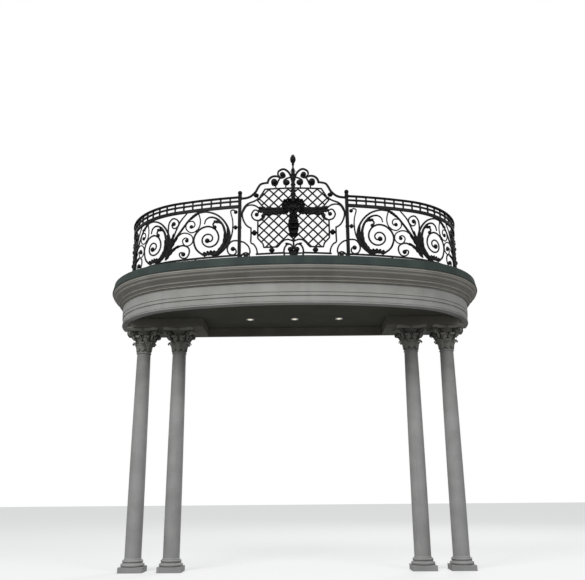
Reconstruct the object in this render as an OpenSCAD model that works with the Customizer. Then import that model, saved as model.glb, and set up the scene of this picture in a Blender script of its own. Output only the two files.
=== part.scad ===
// Bowed balcony with a scrolled iron railing, a moulded cornice and four Corinthian columns.
// The wall is the plane y = 0, the balcony stands out towards -y, and z = 0 is the underside
// of the metal edge. The end of everything that meets the wall is flat on that plane.

/* [Slab plan] */
// Overall width of the balcony along the wall
slab_w = 5970; // [4975:5:7165]
// How far the balcony stands out from the wall
slab_out = 1870; // [1555:5:2245]
// Radius of the long front curve of the plan
front_r = 5940; // [4950:10:7130]

/* [Metal edge] */
// Height of the metal edge band
edge_h = 135; // [110:1:165]
// How far the band leans in from its foot to its top
edge_lean = 25; // [0:1:40]
// Thickness of the deck finish inside the band
deck_t = 18; // [10:1:30]

/* [Cornice] */
// Height of the moulded crown below the metal edge
crown_h = 220; // [183:1:264]
// How far the crown stands out past the fascia
crown_out = 166; // [138:1:200]
// Height of the wide fascia
fascia_h = 138; // [110:1:170]
// Height of the stepped architrave below the fascia
architrave_h = 167; // [140:1:200]
// Thickness of the mouldings from their face to the slab behind
moulding_t = 45; // [38:1:55]

/* [Soffit] */
// Depth of the ceiling above the lower edge of the architrave
soffit_rise = 28; // [15:1:45]
// Thickness of the ceiling board
soffit_t = 15; // [10:1:25]
// Diameter of a ceiling light's rim
light_d = 120; // [90:1:150]
// Distance between the ceiling lights
light_pitch = 690; // [500:10:850]
// Distance of the ceiling lights from the wall
light_y = 650; // [500:10:800]

/* [Drop blocks and wall beam] */
// Height of the block over each pair of columns
block_h = 131; // [100:1:165]
// How far each block reaches past the inner column's centre line
block_side = 380; // [300:5:460]
// How far the blocks stand out from the wall
block_out = 755; // [740:5:860]
// How far the beam along the wall stands out
beam_out = 60; // [40:1:90]

/* [Columns] */
// Height of each column from its plinth to its abacus
column_h = 3525; // [2900:5:4250]
// Distance from the end of the slab to the outer columns
outer_inset = 640; // [620:5:770]
// Distance between the columns of a pair
column_pitch = 550; // [480:5:660]
// Distance of the column centres from the wall
column_y = 530; // [450:5:560]
// Diameter of the shaft at its foot
shaft_d = 238; // [200:1:285]
// Diameter of the shaft at its neck
neck_d = 205; // [170:1:235]
// Side of the square plinth
plinth_w = 345; // [310:1:400]
// Height of the square plinth
plinth_h = 75; // [60:1:100]
// Height of the two tori and the hollow above the plinth
base_h = 92; // [76:1:110]
// Height of the capital with its abacus
capital_h = 357; // [300:1:430]
// Width of the abacus from horn to horn
abacus_w = 475; // [400:1:500]

/* [Railing] */
// Distance of the railing's middle line from the foot of the metal edge
rail_inset = 295; // [245:5:355]
// Height of the top rail's upper face above the deck
rail_h = 1055; // [875:5:1270]
// Height of the banded frieze from the top rail to its lower bar
band_h = 187; // [155:1:225]
// Distance between the short uprights in the frieze
band_pitch = 145; // [120:1:175]
// Height of the bottom rail's upper face above the deck
foot_gap = 130; // [105:1:160]
// Width of the top rail across the railing
top_rail_w = 54; // [45:1:65]
// Thickness of the scrolls across the railing
scroll_t = 16; // [12:1:20]
// Usual width of a scroll's bar in the plane of the railing
bar_w = 20; // [16.5:0.5:24]
// Share of a full scroll cell that the last one by the wall has
last_cell = 0.6; // [0.6:0.01:0.75]

/* [Centre panel] */
// Distance from the centre line to each post of the centre panel
post_x = 800; // [665:5:960]
// Side of the square posts
post_w = 50; // [40:1:60]
// Diameter of the ball on each post
ball_d = 68; // [55:1:80]
// Height of the finial's tip above the deck
crest_h = 1721; // [1440:5:2000]
// Distance between crossings of the lattice, along the diagonal
lattice_pitch = 148; // [120:1:180]

/* [Hidden] */

// Colours
iron = [0.05, 0.05, 0.055];
edge_metal = [0.22, 0.26, 0.25];
warm_stone = [0.45, 0.44, 0.41];
pale_stone = [0.57, 0.57, 0.56];
ceiling_grey = [0.30, 0.30, 0.26];
light_rim = [0.75, 0.75, 0.72];

// Plan curve: a front arc about (0, front_c) and an end arc about (+-end_c, 0), tangent where
// they meet, with the end arcs square to the wall
half_w = slab_w / 2;
end_r = (2 * front_r * slab_out - slab_out * slab_out - half_w * half_w) / (2 * (front_r - half_w));
end_c = half_w - end_r;
front_c = front_r - slab_out;
outer_x = half_w - outer_inset;
block_x = outer_x - column_pitch - block_side;
join_a = atan2(front_c, end_c);
arc_fn = 256;

// Heights
deck_z = edge_h;
entablature_h = crown_h + fascia_h + architrave_h;
soffit_z = soffit_rise - entablature_h;
block_z = soffit_z - block_h;
ground_z = block_z - column_h;
core_top = edge_h - deck_t;

// Mouldings are set out from the foot of the metal edge
fascia_in = crown_out + 12;
core_in = fascia_in + moulding_t;
edge_t = 60;
ring_end = core_in + 18;

// Profile curves
function arc(c, r, a0, a1, n) = [
    for (i = [0 : n])
        let (a = a0 + (a1 - a0) * i / n)
        c + r * [cos(a), sin(a)]
];

// A smooth curve through the given points, with steps pieces between two of them
function smooth(p, steps) = [
    for (i = [0 : len(p) - 2])
        for (j = [0 : steps - 1])
            let (
                a = p[max(i - 1, 0)],
                b = p[i],
                c = p[i + 1],
                d = p[min(i + 2, len(p) - 1)],
                t = j / steps
            )
            0.5 * (2 * b + (c - a) * t + (2 * a - 5 * b + 4 * c - d) * t * t
                + (3 * b - a - 3 * c + d) * t * t * t),
    p[len(p) - 1]
];

// Sweeps a profile round the plan; x = 0 is the curve set in by off, and x grows outwards
module bow_half(off) {
    translate([0, front_c, 0])
        rotate_extrude(start = -90, angle = 90 - join_a, $fn = arc_fn)
            translate([front_r - off, 0])
                children();
    translate([end_c, 0, 0])
        rotate_extrude(start = -join_a, angle = join_a, $fn = arc_fn)
            translate([end_r - off, 0])
                children();
}

module bow(off) {
    union() {
        bow_half(off)
            children();
        mirror([1, 0, 0])
            bow_half(off)
                children();
    }
}

// A flat plate of the plan's shape, set in by off, from height z0 to z1
module plate(off, z0, z1) {
    difference() {
        union() {
            for (side = [0, 1])
                mirror([side, 0, 0]) {
                    translate([0, front_c, 0])
                        rotate_extrude(start = -90, angle = 90 - join_a, $fn = arc_fn)
                            translate([0, z0])
                                square([front_r - off, z1 - z0]);
                    translate([end_c, 0, 0])
                        rotate_extrude(start = -join_a, angle = join_a, $fn = arc_fn)
                            translate([0, z0])
                                square([end_r - off, z1 - z0]);
                }
        }
        translate([-slab_w, 0, z0 - 1])
            cube([2 * slab_w, 2 * front_r, z1 - z0 + 2]);
    }
}

module slab_core() {
    color(warm_stone)
        union() {
            plate(core_in, soffit_z + soffit_t, 0);
            plate(edge_t, 0, core_top);
        }
}

module deck_finish() {
    color(pale_stone)
        plate(edge_t, core_top, deck_z);
}

// The metal edge leans in, with a rolled top and a small drip at its foot
module edge_band() {
    color(edge_metal)
        bow(0)
            polygon(concat(
                [[-edge_t, 0], [0, 0], [0, 14], [-4, 20]],
                arc([-edge_lean - 6, edge_h - 6], 6, 0, 90, 4),
                [[-edge_t, edge_h]]
            ));
}

// Crown: fillet, hollow, large ogee, bead and a small step down to the fascia
module cornice_crown() {
    out = crown_out;
    h = crown_h;
    bead_r = 0.055 * h;
    small_bead_r = 0.032 * h;
    color(warm_stone)
        bow(0)
            polygon(concat(
                [[-core_in, -h], [-core_in, 0], [-0.07 * out, 0], [-0.07 * out, -0.127 * h]],
                smooth([[-0.11 * out, -0.127 * h], [-0.135 * out, -0.215 * h],
                    [-0.25 * out, -0.28 * h]], 4),
                smooth([[-0.30 * out, -0.30 * h], [-0.335 * out, -0.40 * h], [-0.46 * out, -0.47 * h],
                    [-0.60 * out, -0.51 * h], [-0.68 * out, -0.59 * h]], 3),
                [[-0.73 * out, -0.59 * h], [-0.73 * out, -0.64 * h]],
                arc([-0.76 * out, -0.70 * h], bead_r, 75, -75, 6),
                [[-0.80 * out, -0.76 * h], [-0.80 * out, -0.79 * h], [-0.86 * out, -0.79 * h]],
                smooth([[-0.86 * out, -0.80 * h], [-0.885 * out, -0.85 * h],
                    [-0.94 * out, -0.88 * h]], 3),
                arc([-0.94 * out, -0.93 * h], small_bead_r, 60, -75, 5),
                [[-out, -0.965 * h], [-out, -h]]
            ));
}

module fascia() {
    color(pale_stone)
        bow(0)
            translate([-fascia_in - moulding_t, -crown_h - fascia_h])
                square([moulding_t, fascia_h]);
}

// Architrave: a narrow fascia, a shadow step, the lower fascia, a groove and a bottom bead
module architrave() {
    top = -crown_h - fascia_h;
    h = architrave_h;
    x = -fascia_in;
    color(pale_stone)
        bow(0)
            polygon(concat(
                [[x - moulding_t, top], [x - 8, top], [x - 8, top - 0.05 * h], [x - 2, top - 0.05 * h]],
                [[x - 2, top - 0.30 * h], [x - 14, top - 0.33 * h], [x - 14, top - 0.42 * h],
                    [x - 8, top - 0.44 * h]],
                [[x - 8, top - 0.82 * h], [x - 14, top - 0.82 * h], [x - 14, top - 0.86 * h]],
                arc([x - 14, top - 0.93 * h], 0.07 * h, 80, -90, 6),
                [[-ring_end - moulding_t, top - h], [-ring_end - moulding_t, top - h + soffit_rise]],
                [[x - moulding_t, top - h + soffit_rise]]
            ));
}

module ceiling() {
    color(ceiling_grey)
        difference() {
            plate(core_in, soffit_z, soffit_z + soffit_t);
            for (i = [-1 : 1])
                translate([i * light_pitch, -light_y, soffit_z - 1])
                    cylinder(d = light_d - 24, h = soffit_t + 2, $fn = 48);
        }
}

// A ceiling light: a flat rim under the board and a lamp in its hole
module ceiling_light(i) {
    color(light_rim)
        translate([i * light_pitch, -light_y, soffit_z])
            rotate_extrude($fn = 48)
                polygon([[0, -2], [0.30 * light_d, -2], [0.34 * light_d, -8], [light_d / 2 - 4, -8],
                    [light_d / 2, -4], [light_d / 2, 0], [light_d / 2 - 12.3, 0],
                    [light_d / 2 - 12.3, soffit_t - 0.3], [0, soffit_t - 0.3]]);
}

module ceiling_light_left() {
    ceiling_light(-1);
}

module ceiling_light_centre() {
    ceiling_light(0);
}

module ceiling_light_right() {
    ceiling_light(1);
}

// The block over a pair of columns, cut to the plan's curve at its outer end
module drop_block(side) {
    color(warm_stone)
        mirror([side, 0, 0])
            intersection() {
                plate(core_in + moulding_t, block_z, soffit_z);
                translate([block_x, -block_out, block_z - 1])
                    cube([half_w, block_out, block_h + 2]);
            }
}

module drop_block_left() {
    drop_block(1);
}

module drop_block_right() {
    drop_block(0);
}

module wall_beam() {
    color(warm_stone)
        translate([-block_x, -beam_out, block_z])
            cube([2 * block_x, beam_out, block_h]);
}

// Columns are placed by side, -1 or 1, and by place in the pair, 0 for outer and 1 for inner
module at_column(side, place) {
    translate([side * (outer_x - place * column_pitch), -column_y, 0])
        children();
}

module column_base(side, place) {
    torus_r = base_h * 0.25;
    upper_r = base_h * 0.17;
    foot_r = shaft_d / 2 + 8;
    color(pale_stone)
        at_column(side, place) {
            translate([-plinth_w / 2, -plinth_w / 2, ground_z])
                cube([plinth_w, plinth_w, plinth_h]);
            translate([0, 0, ground_z + plinth_h])
                rotate_extrude($fn = 64)
                    polygon(concat(
                        [[0, 0]],
                        arc([plinth_w / 2 - torus_r - 2, torus_r], torus_r, -90, 90, 8),
                        [[foot_r + 16, 2 * torus_r + 4]],
                        arc([foot_r + 20, 0.60 * base_h], 0.06 * base_h, 250, 110, 4),
                        [[foot_r + 6, 0.66 * base_h]],
                        arc([foot_r + 6, base_h - upper_r], upper_r, -90, 90, 6),
                        [[0, base_h]]
                    ));
        }
}

// The shaft swells a little up to a third of its height and then narrows to the neck
module column_shaft(side, place) {
    z0 = ground_z + plinth_h + base_h;
    z1 = block_z - capital_h;
    h = z1 - z0;
    r0 = shaft_d / 2;
    r1 = neck_d / 2;
    color(pale_stone)
        at_column(side, place)
            translate([0, 0, z0])
                rotate_extrude($fn = 64)
                    polygon(concat(
                        [[0, 0], [r0 + 8, 0], [r0 + 8, 10]],
                        [for (i = [0 : 8])
                            let (t = i / 8)
                            [r0 - (r0 - r1) * pow(max(t - 0.2, 0) / 0.8, 1.6), 22 + (h - 60) * t]],
                        arc([r1 + 2, h - 20], 9, -90, 90, 6),
                        [[r1, h - 8], [r1, h], [0, h]]
                    ));
}

// Capital: a bell under an abacus with hollow sides, two rows of leaves, a volute under each
// horn and a flower on each side
module capital(side, place) {
    z0 = block_z - capital_h;
    abacus_h = capital_h * 0.13;
    bell_h = capital_h - abacus_h;
    r1 = neck_d / 2;
    lip_r = abacus_w * 0.34;
    color(pale_stone)
        at_column(side, place)
            translate([0, 0, z0]) {
                rotate_extrude($fn = 64)
                    polygon(concat(
                        [[0, 0]],
                        [for (i = [0 : 8]) let (t = i / 8) [r1 + (lip_r - r1) * pow(t, 2.6), bell_h * t]],
                        [[0, bell_h]]
                    ));
                translate([0, 0, bell_h])
                    abacus(abacus_h);
                leaf_row(r1, 0, capital_h * 0.35, 0, 0.46 * abacus_w / 2);
                leaf_row(r1 + 2, capital_h * 0.16, capital_h * 0.61, 22.5, 0.42 * abacus_w / 2);
                for (a = [45 : 90 : 315])
                    rotate([0, 0, a])
                        volute(r1, bell_h);
                for (a = [0 : 90 : 270])
                    rotate([0, 0, a])
                        translate([abacus_w * 0.385, 0, capital_h * 0.93])
                            rotate([0, 90, 0])
                                flower();
            }
}

// One row of eight leaves that curl out at their tips, cut from a ring
module leaf_row(r, low, high, turn, w) {
    h = high - low;
    intersection() {
        rotate_extrude($fn = 64)
            polygon(concat(
                [[r - 10, low], [r + 11, low]],
                smooth([[r + 13, low + 0.02 * h], [r + 15, low + 0.45 * h], [r + 23, low + 0.68 * h],
                    [r + 44, low + 0.80 * h], [r + 58, low + 0.77 * h], [r + 64, low + 0.85 * h],
                    [r + 54, low + 0.97 * h], [r + 30, high]], 3),
                [[r + 14, low + 0.97 * h], [r - 10, low + 0.90 * h]]
            ));
        for (i = [0 : 7])
            rotate([0, 0, turn + i * 45])
                translate([r - 12, 0, low])
                    rotate([90, 0, 90])
                        linear_extrude(height = 100)
                            leaf_outline(w, h);
    }
}

// Lobed outline of a leaf of width w and height h, standing on the origin
module leaf_outline(w, h) {
    half = [[0.28, 0], [0.46, 0.16], [0.44, 0.30], [0.34, 0.33], [0.50, 0.44], [0.48, 0.58],
        [0.35, 0.60], [0.44, 0.70], [0.38, 0.84], [0.27, 0.84], [0.22, 0.95]];
    n = len(half);
    polygon(concat(
        [for (q = half) [q[0] * w, q[1] * h]],
        [[0, h]],
        [for (i = [n - 1 : -1 : 0]) [-half[i][0] * w, half[i][1] * h]]
    ));
}

// A volute under a horn of the abacus: a stalk that rises from the bell and rolls up
module volute(r, h) {
    eye_r = 0.27 * abacus_w * 0.28;
    eye_at = [0.535 * abacus_w, h - eye_r - 2];
    thick = 0.085 * abacus_w;
    translate([0, thick / 2, 0])
        rotate([90, 0, 0]) {
            linear_extrude(height = thick)
                polygon(concat(
                    [[r - 12, 0.42 * h]],
                    smooth([[r + 24, 0.48 * h], [r + 48, 0.66 * h], [r + 92, 0.80 * h],
                        [eye_at[0] - 4, eye_at[1] - 0.6 * eye_r]], 3),
                    [[eye_at[0], h + 3], [r + 20, h + 3]]
                ));
            translate([eye_at[0], eye_at[1], -3])
                cylinder(r = eye_r, h = thick + 6, $fn = 32);
            translate([eye_at[0], eye_at[1], -9])
                cylinder(r = 0.36 * eye_r, h = thick + 18, $fn = 24);
        }
}

module flower() {
    rotate_extrude($fn = 32)
        polygon([[0, -60], [20, -60], [24, -4], [27, 4], [24, 11], [16, 14], [10, 9], [7, 18], [0, 21]]);
}

module abacus(h) {
    reach = abacus_w / 2;
    hollow = abacus_w * 0.09;
    hollow_r = (reach * reach * 0.64 + hollow * hollow) / (2 * hollow);
    difference() {
        translate([-reach, -reach, 0])
            cube([2 * reach, 2 * reach, h]);
        for (a = [0 : 90 : 270])
            rotate([0, 0, a]) {
                translate([reach - hollow + hollow_r, 0, -1])
                    cylinder(r = hollow_r, h = h + 2, $fn = 96);
                rotate([0, 0, 45])
                    translate([reach * 1.32, -reach, -1])
                        cube([reach, 2 * reach, h + 2]);
            }
    }
}

module base_outer_left() { column_base(-1, 0); }
module base_inner_left() { column_base(-1, 1); }
module base_inner_right() { column_base(1, 1); }
module base_outer_right() { column_base(1, 0); }
module shaft_outer_left() { column_shaft(-1, 0); }
module shaft_inner_left() { column_shaft(-1, 1); }
module shaft_inner_right() { column_shaft(1, 1); }
module shaft_outer_right() { column_shaft(1, 0); }
module capital_outer_left() { capital(-1, 0); }
module capital_inner_left() { capital(-1, 1); }
module capital_inner_right() { capital(1, 1); }
module capital_outer_right() { capital(1, 0); }

// Railing plan: s runs along the right-hand railing from its centre-panel post to the wall
rail_front_r = front_r - rail_inset;
rail_end_r = end_r - rail_inset;
post_a = asin(post_x / rail_front_r);
front_run = rail_front_r * (90 - join_a - post_a) * PI / 180;
end_run = rail_end_r * join_a * PI / 180;
side_run = front_run + end_run;
rail_half_w = half_w - rail_inset;

// Angle of the railing's outward direction at s, and the point there
function rail_a(s) = s < front_run
    ? -90 + post_a + s / rail_front_r * 180 / PI
    : -join_a + (s - front_run) / rail_end_r * 180 / PI;
function rail_xy(s) = s < front_run
    ? [0, front_c] + rail_front_r * [cos(rail_a(s)), sin(rail_a(s))]
    : [end_c, 0] + rail_end_r * [cos(rail_a(s)), sin(rail_a(s))];

// Where a point at s falls on a flat sheet that faces the railing at s0
function on_sheet(s, s0) = (rail_xy(s) - rail_xy(s0)) * [-sin(rail_a(s0)), cos(rail_a(s0))];

// A wall of thickness t that follows the whole railing
module rail_wall(t, z0, z1) {
    bow(rail_inset)
        translate([-t / 2, z0])
            square([t, z1 - z0]);
}

// Depth of the block that a flat pattern is drawn through before the wall cuts it
sheet_depth = 700;

// Joins the bars of a flat pattern and closes the slivers where two of them meet
module welded() {
    weld = 0.6;
    offset(delta = -weld)
        offset(delta = 2 * weld)
            offset(delta = -weld)
                children();
}

// Cuts a flat pattern, drawn for a sheet that faces the railing at s0, out of that wall
module wrought(s0, t, z0, z1) {
    p = rail_xy(s0);
    intersection() {
        rail_wall(t, z0, z1);
        translate([p[0], p[1], 0])
            rotate([0, 0, rail_a(s0) + 90])
                translate([0, sheet_depth / 2, 0])
                    rotate([90, 0, 0])
                        linear_extrude(height = sheet_depth)
                            welded()
                                children();
    }
}

// Outline of a bar along points p, whose width goes from w0 over w1 to w2
function bar_width(t, w) = t < 0.5 ? w[0] + (w[1] - w[0]) * 2 * t : w[1] + (w[2] - w[1]) * (2 * t - 1);
module stroke(p, w) {
    n = len(p) - 1;
    side = [for (i = [0 : n])
        let (
            d = p[min(i + 1, n)] - p[max(i - 1, 0)],
            u = d / norm(d),
            half = bar_width(i / n, w) / 2
        )
        half * [-u[1], u[0]]];
    polygon(concat([for (i = [0 : n]) p[i] + side[i]], [for (i = [n : -1 : 0]) p[i] - side[i]]));
}

// A spiral about c from radius r0 to r1, from angle a0 through sweep degrees
function spiral(c, r0, r1, a0, sweep, n) = [
    for (i = [0 : n])
        let (t = i / n, r = r1 + (r0 - r1) * (1 - pow(t, 1.3)))
        c + r * [cos(a0 + sweep * t), sin(a0 + sweep * t)]
];

// One scroll cell is drawn 966 wide and 738 high, standing on the bottom rail
cell_w = 966;
cell_h = 738;
cell_foot = 130;
gap_by_post = 168;
full_cell = (side_run - gap_by_post) / (2 + last_cell);
scroll_low = deck_z + foot_gap;
scroll_high = deck_z + rail_h - band_h;
function fit(p, start, s0) = [for (q = p) [
    on_sheet(start + q[0] * full_cell / cell_w, s0),
    scroll_low + (q[1] - cell_foot) * (scroll_high - scroll_low) / cell_h
]];
function eye(p) = p[len(p) - 1];

module scroll(p, start, s0, w, eye_r) {
    q = fit(p, start, s0);
    stroke(q, w);
    if (eye_r > 0)
        translate(eye(q))
            circle(r = eye_r, $fn = 12);
}

// The big spiral, the two crescents that cradle it, the curled bud and the knot at their foot
big_spiral = [[358, 148], [487, 252], [543, 400], [512, 514], [426, 592], [315, 612], [218, 567],
    [163, 487], [151, 400], [185, 325], [250, 287], [315, 289], [364, 315], [396, 353], [408, 400],
    [396, 446], [361, 480], [315, 488], [273, 472], [247, 439], [247, 400], [270, 374], [300, 370],
    [326, 386]];

module spiral_and_crescents(start, s0) {
    b = bar_w;
    scroll(smooth(big_spiral, 3), start, s0, [1.3 * b, b, 0.9 * b], 1.3 * b);
    scroll(smooth([[575, 790], [494, 838], [370, 852], [250, 820], [150, 760], [62, 664], [2, 545],
        [-17, 425], [14, 304], [85, 213], [172, 146]], 4), start, s0, [0.9 * b, 1.3 * b, 2 * b], 0);
    scroll(smooth([[378, 660], [354, 728], [282, 758], [184, 723], [98, 628], [57, 514], [48, 404],
        [73, 284], [130, 193], [200, 146]], 4), start, s0, [0.7 * b, 1.6 * b, 2.2 * b], 0.7 * b);
    scroll(smooth([[92, 618], [120, 658], [165, 684], [216, 674], [242, 634], [216, 590]], 4),
        start, s0, [b, 1.2 * b, b], 1.3 * b);
    scroll(smooth([[150, 160], [215, 176], [265, 160], [310, 176], [362, 150]], 3),
        start, s0, [b, 3.2 * b, b], 0);
}

// The stems that run down to the next cell, and the four small scrolls round them
module stems_and_small_scrolls(start, s0) {
    b = bar_w;
    scroll(smooth([[440, 862], [494, 838], [617, 759], [714, 646], [837, 488], [925, 380], [985, 275]],
        4), start, s0, [1.1 * b, 1.4 * b, 1.9 * b], 0);
    scroll(smooth([[672, 866], [696, 838], [770, 754], [830, 637], [890, 496], [940, 404], [966, 330]],
        4), start, s0, [0.8 * b, 1.1 * b, 1.4 * b], 0);
    scroll(smooth([[476, 836], [446, 726], [456, 627], [509, 559], [596, 544], [668, 603], [677, 679],
        [641, 724], [565, 721], [532, 667], [555, 626], [590, 636]], 4),
        start, s0, [0.8 * b, 0.8 * b, 0.8 * b], 1.2 * b);
    scroll(smooth([[848, 470], [761, 540], [672, 544], [582, 493], [556, 416], [583, 358], [651, 335],
        [709, 373], [725, 436], [681, 468], [636, 444], [655, 422]], 4),
        start, s0, [0.9 * b, 0.8 * b, 0.8 * b], 1.2 * b);
    scroll(smooth([[985, 190], [881, 296], [778, 344], [702, 347], [624, 301], [609, 226], [644, 157],
        [706, 146], [759, 182], [767, 232], [723, 239], [706, 210]], 4),
        start, s0, [1.2 * b, b, 0.9 * b], 1.4 * b);
    scroll(smooth([[898, 412], [956, 505], [982, 630], [970, 752], [905, 812], [823, 774], [801, 708],
        [844, 651], [898, 659], [921, 714], [889, 722]], 4), start, s0, [b, b, 0.8 * b], 1.4 * b);
    scroll([[500, 570], [478, 545]], start, s0, [b, b, b], 0);
}

// Between the post and the first cell: a bowed upright with a curled head, a scroll and a collar
module by_post(s0) {
    b = bar_w;
    start = 0;
    scroll(smooth([[176, 300], [131, 397], [104, 529], [107, 677], [139, 815], [112, 842], [84, 836],
        [62, 806]], 4), start, s0, [b, 0.8 * b, 0.8 * b], 1.2 * b);
    scroll(smooth([[14, 347], [107, 347], [164, 291], [181, 220], [150, 150], [88, 130], [46, 165],
        [60, 220], [96, 224]], 4), start, s0, [b, b, 0.9 * b], 1.4 * b);
    scroll([[16, 560], [107, 560]], start, s0, [0.9 * b, 0.9 * b, 0.9 * b], 0);
    translate(fit([[62, 560]], start, s0)[0])
        circle(r = 1.4 * b, $fn = 24);
}

module scrolls(side, cell) {
    start = gap_by_post + cell * full_cell;
    s0 = cell == 2 ? start + 300 * full_cell / cell_w : start + full_cell / 2;
    color(iron)
        mirror([side < 0 ? 1 : 0, 0, 0])
            wrought(s0, scroll_t, scroll_low - bar_w, scroll_high + bar_w) {
                spiral_and_crescents(start, s0);
                if (cell < 2)
                    stems_and_small_scrolls(start, s0);
                if (cell == 0)
                    by_post(s0);
            }
}

module scrolls_left_first() { scrolls(-1, 0); }
module scrolls_left_middle() { scrolls(-1, 1); }
module scrolls_left_last() { scrolls(-1, 2); }
module scrolls_right_first() { scrolls(1, 0); }
module scrolls_right_middle() { scrolls(1, 1); }
module scrolls_right_last() { scrolls(1, 2); }

// Rails follow the plan from the post to the wall on one side
module side_rail(t, h, z) {
    from_post(z, h)
        translate([-t / 2, z])
            square([t, h]);
}

module from_post(z, h) {
    difference() {
        bow_half(rail_inset)
            children();
        translate([-post_x - post_w / 2, -slab_out, z - 1])
            cube([2 * post_x + post_w, slab_out, h + 2]);
    }
}

// The handrail has a rounded back over a narrower foot
module handrail() {
    top = deck_z + rail_h;
    half = top_rail_w / 2;
    from_post(top - top_rail_t, top_rail_t)
        polygon(concat(
            [[half - 6, top - top_rail_t], [half - 6, top - top_rail_t + 5]],
            arc([half - 8, top - 10], 8, -60, 80, 4),
            [[0.3 * half, top], [-0.3 * half, top]],
            arc([8 - half, top - 10], 8, 100, 240, 4),
            [[6 - half, top - top_rail_t + 5], [6 - half, top - top_rail_t]]
        ));
}

top_rail_t = 24;
mid_rail_t = 16;
lower_bar_h = 46;
bottom_rail_t = 22;
upright_w = 20;
lower_bar_z = deck_z + rail_h - band_h;

// The frieze: top rail, thin middle bar, deep lower bar and short uprights through all three
module frieze(side) {
    count = floor(side_run / band_pitch);
    color(iron)
        mirror([side < 0 ? 1 : 0, 0, 0])
            union() {
                handrail();
                side_rail(26, mid_rail_t, deck_z + rail_h - 0.44 * band_h);
                side_rail(30, lower_bar_h, lower_bar_z);
                for (i = [1 : count - 1])
                    let (s = i * side_run / count, p = rail_xy(s))
                    translate([p[0], p[1], lower_bar_z + lower_bar_h / 2])
                        rotate([0, 0, rail_a(s)])
                            translate([-upright_w / 2, -upright_w / 2, 0])
                                cube([upright_w, upright_w, band_h - lower_bar_h / 2 - top_rail_t / 2]);
            }
}

module frieze_left() {
    frieze(-1);
}

module frieze_right() {
    frieze(1);
}

// The bottom rail stands on short feet
module bottom_rail(side) {
    color(iron)
        mirror([side < 0 ? 1 : 0, 0, 0])
            union() {
                side_rail(30, bottom_rail_t, scroll_low - bottom_rail_t);
                for (i = [1 : 3])
                    let (s = i * side_run / 4, p = rail_xy(s))
                    translate([p[0], p[1], deck_z])
                        rotate([0, 0, rail_a(s)])
                            translate([-12, -12, 0])
                                cube([24, 24, foot_gap - bottom_rail_t / 2]);
            }
}

module bottom_rail_left() {
    bottom_rail(-1);
}

module bottom_rail_right() {
    bottom_rail(1);
}

// Posts of the centre panel, each with a moulded cap and a ball
post_y = rail_xy(0)[1];
module post(side) {
    cap_z = deck_z + rail_h + 14;
    color(iron)
        translate([side * post_x, post_y, 0]) {
            translate([-post_w / 2, -post_w / 2, deck_z])
                cube([post_w, post_w, cap_z - deck_z]);
            for (z = [[deck_z, 34, 20], [deck_z + 0.52 * rail_h, 16, 10], [cap_z - 40, 16, 12]])
                translate([-(post_w + z[2]) / 2, -(post_w + z[2]) / 2, z[0]])
                    cube([post_w + z[2], post_w + z[2], z[1]]);
            translate([0, 0, cap_z])
                rotate_extrude($fn = 32)
                    polygon(concat(
                        [[0, -1], [post_w * 0.6, -1], [post_w * 0.6, 6], [post_w * 0.3, 12]],
                        arc([0, 8 + ball_d / 2], ball_d / 2, -60, 90, 8)
                    ));
        }
}

module post_left() {
    post(-1);
}

module post_right() {
    post(1);
}

// The last upright stands flat against the wall
wall_post_w = 40;
module wall_post(side) {
    color(iron)
        translate([side * rail_half_w - wall_post_w / 2, -wall_post_w, deck_z])
            cube([wall_post_w, wall_post_w, rail_h + 4]);
}

module wall_post_left() {
    wall_post(-1);
}

module wall_post_right() {
    wall_post(1);
}

// Centre panel: drawn for its right half, 800 wide to the post, with heights above the deck
draw_x = 800;
draw_rail = 1055;
draw_top = 1721;
crest_scale = (crest_h - rail_h) / (draw_top - draw_rail);
function panel_z(z) = deck_z + (z <= draw_rail
    ? z * rail_h / draw_rail
    : rail_h + (z - draw_rail) * crest_scale);
function panel(p) = [for (q = p) [q[0] * post_x / draw_x, panel_z(q[1])]];

module mirrored() {
    children();
    mirror([1, 0, 0])
        children();
}

module panel_bar(p, w, eye_r) {
    q = panel(p);
    stroke(q, w);
    if (eye_r > 0)
        translate(eye(q))
            circle(r = eye_r, $fn = 12);
}

// Cuts a centre-panel pattern out of the railing's wall
module wrought_centre(t, z0, z1) {
    intersection() {
        bow(rail_inset)
            translate([-t / 2, z0])
                square([t, z1 - z0]);
        translate([0, post_y + sheet_depth / 2, 0])
            rotate([90, 0, 0])
                linear_extrude(height = sheet_depth)
                    welded()
                        children();
    }
}

panel_low = deck_z;
panel_high = deck_z + crest_h;

lattice_edge = [[0, 380], [124, 347], [208, 262], [240, 223], [436, 223], [449, 278], [527, 368],
    [527, 640], [440, 700], [440, 850], [540, 980], [500, 1021], [422, 1150], [0, 1158]];

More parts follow.
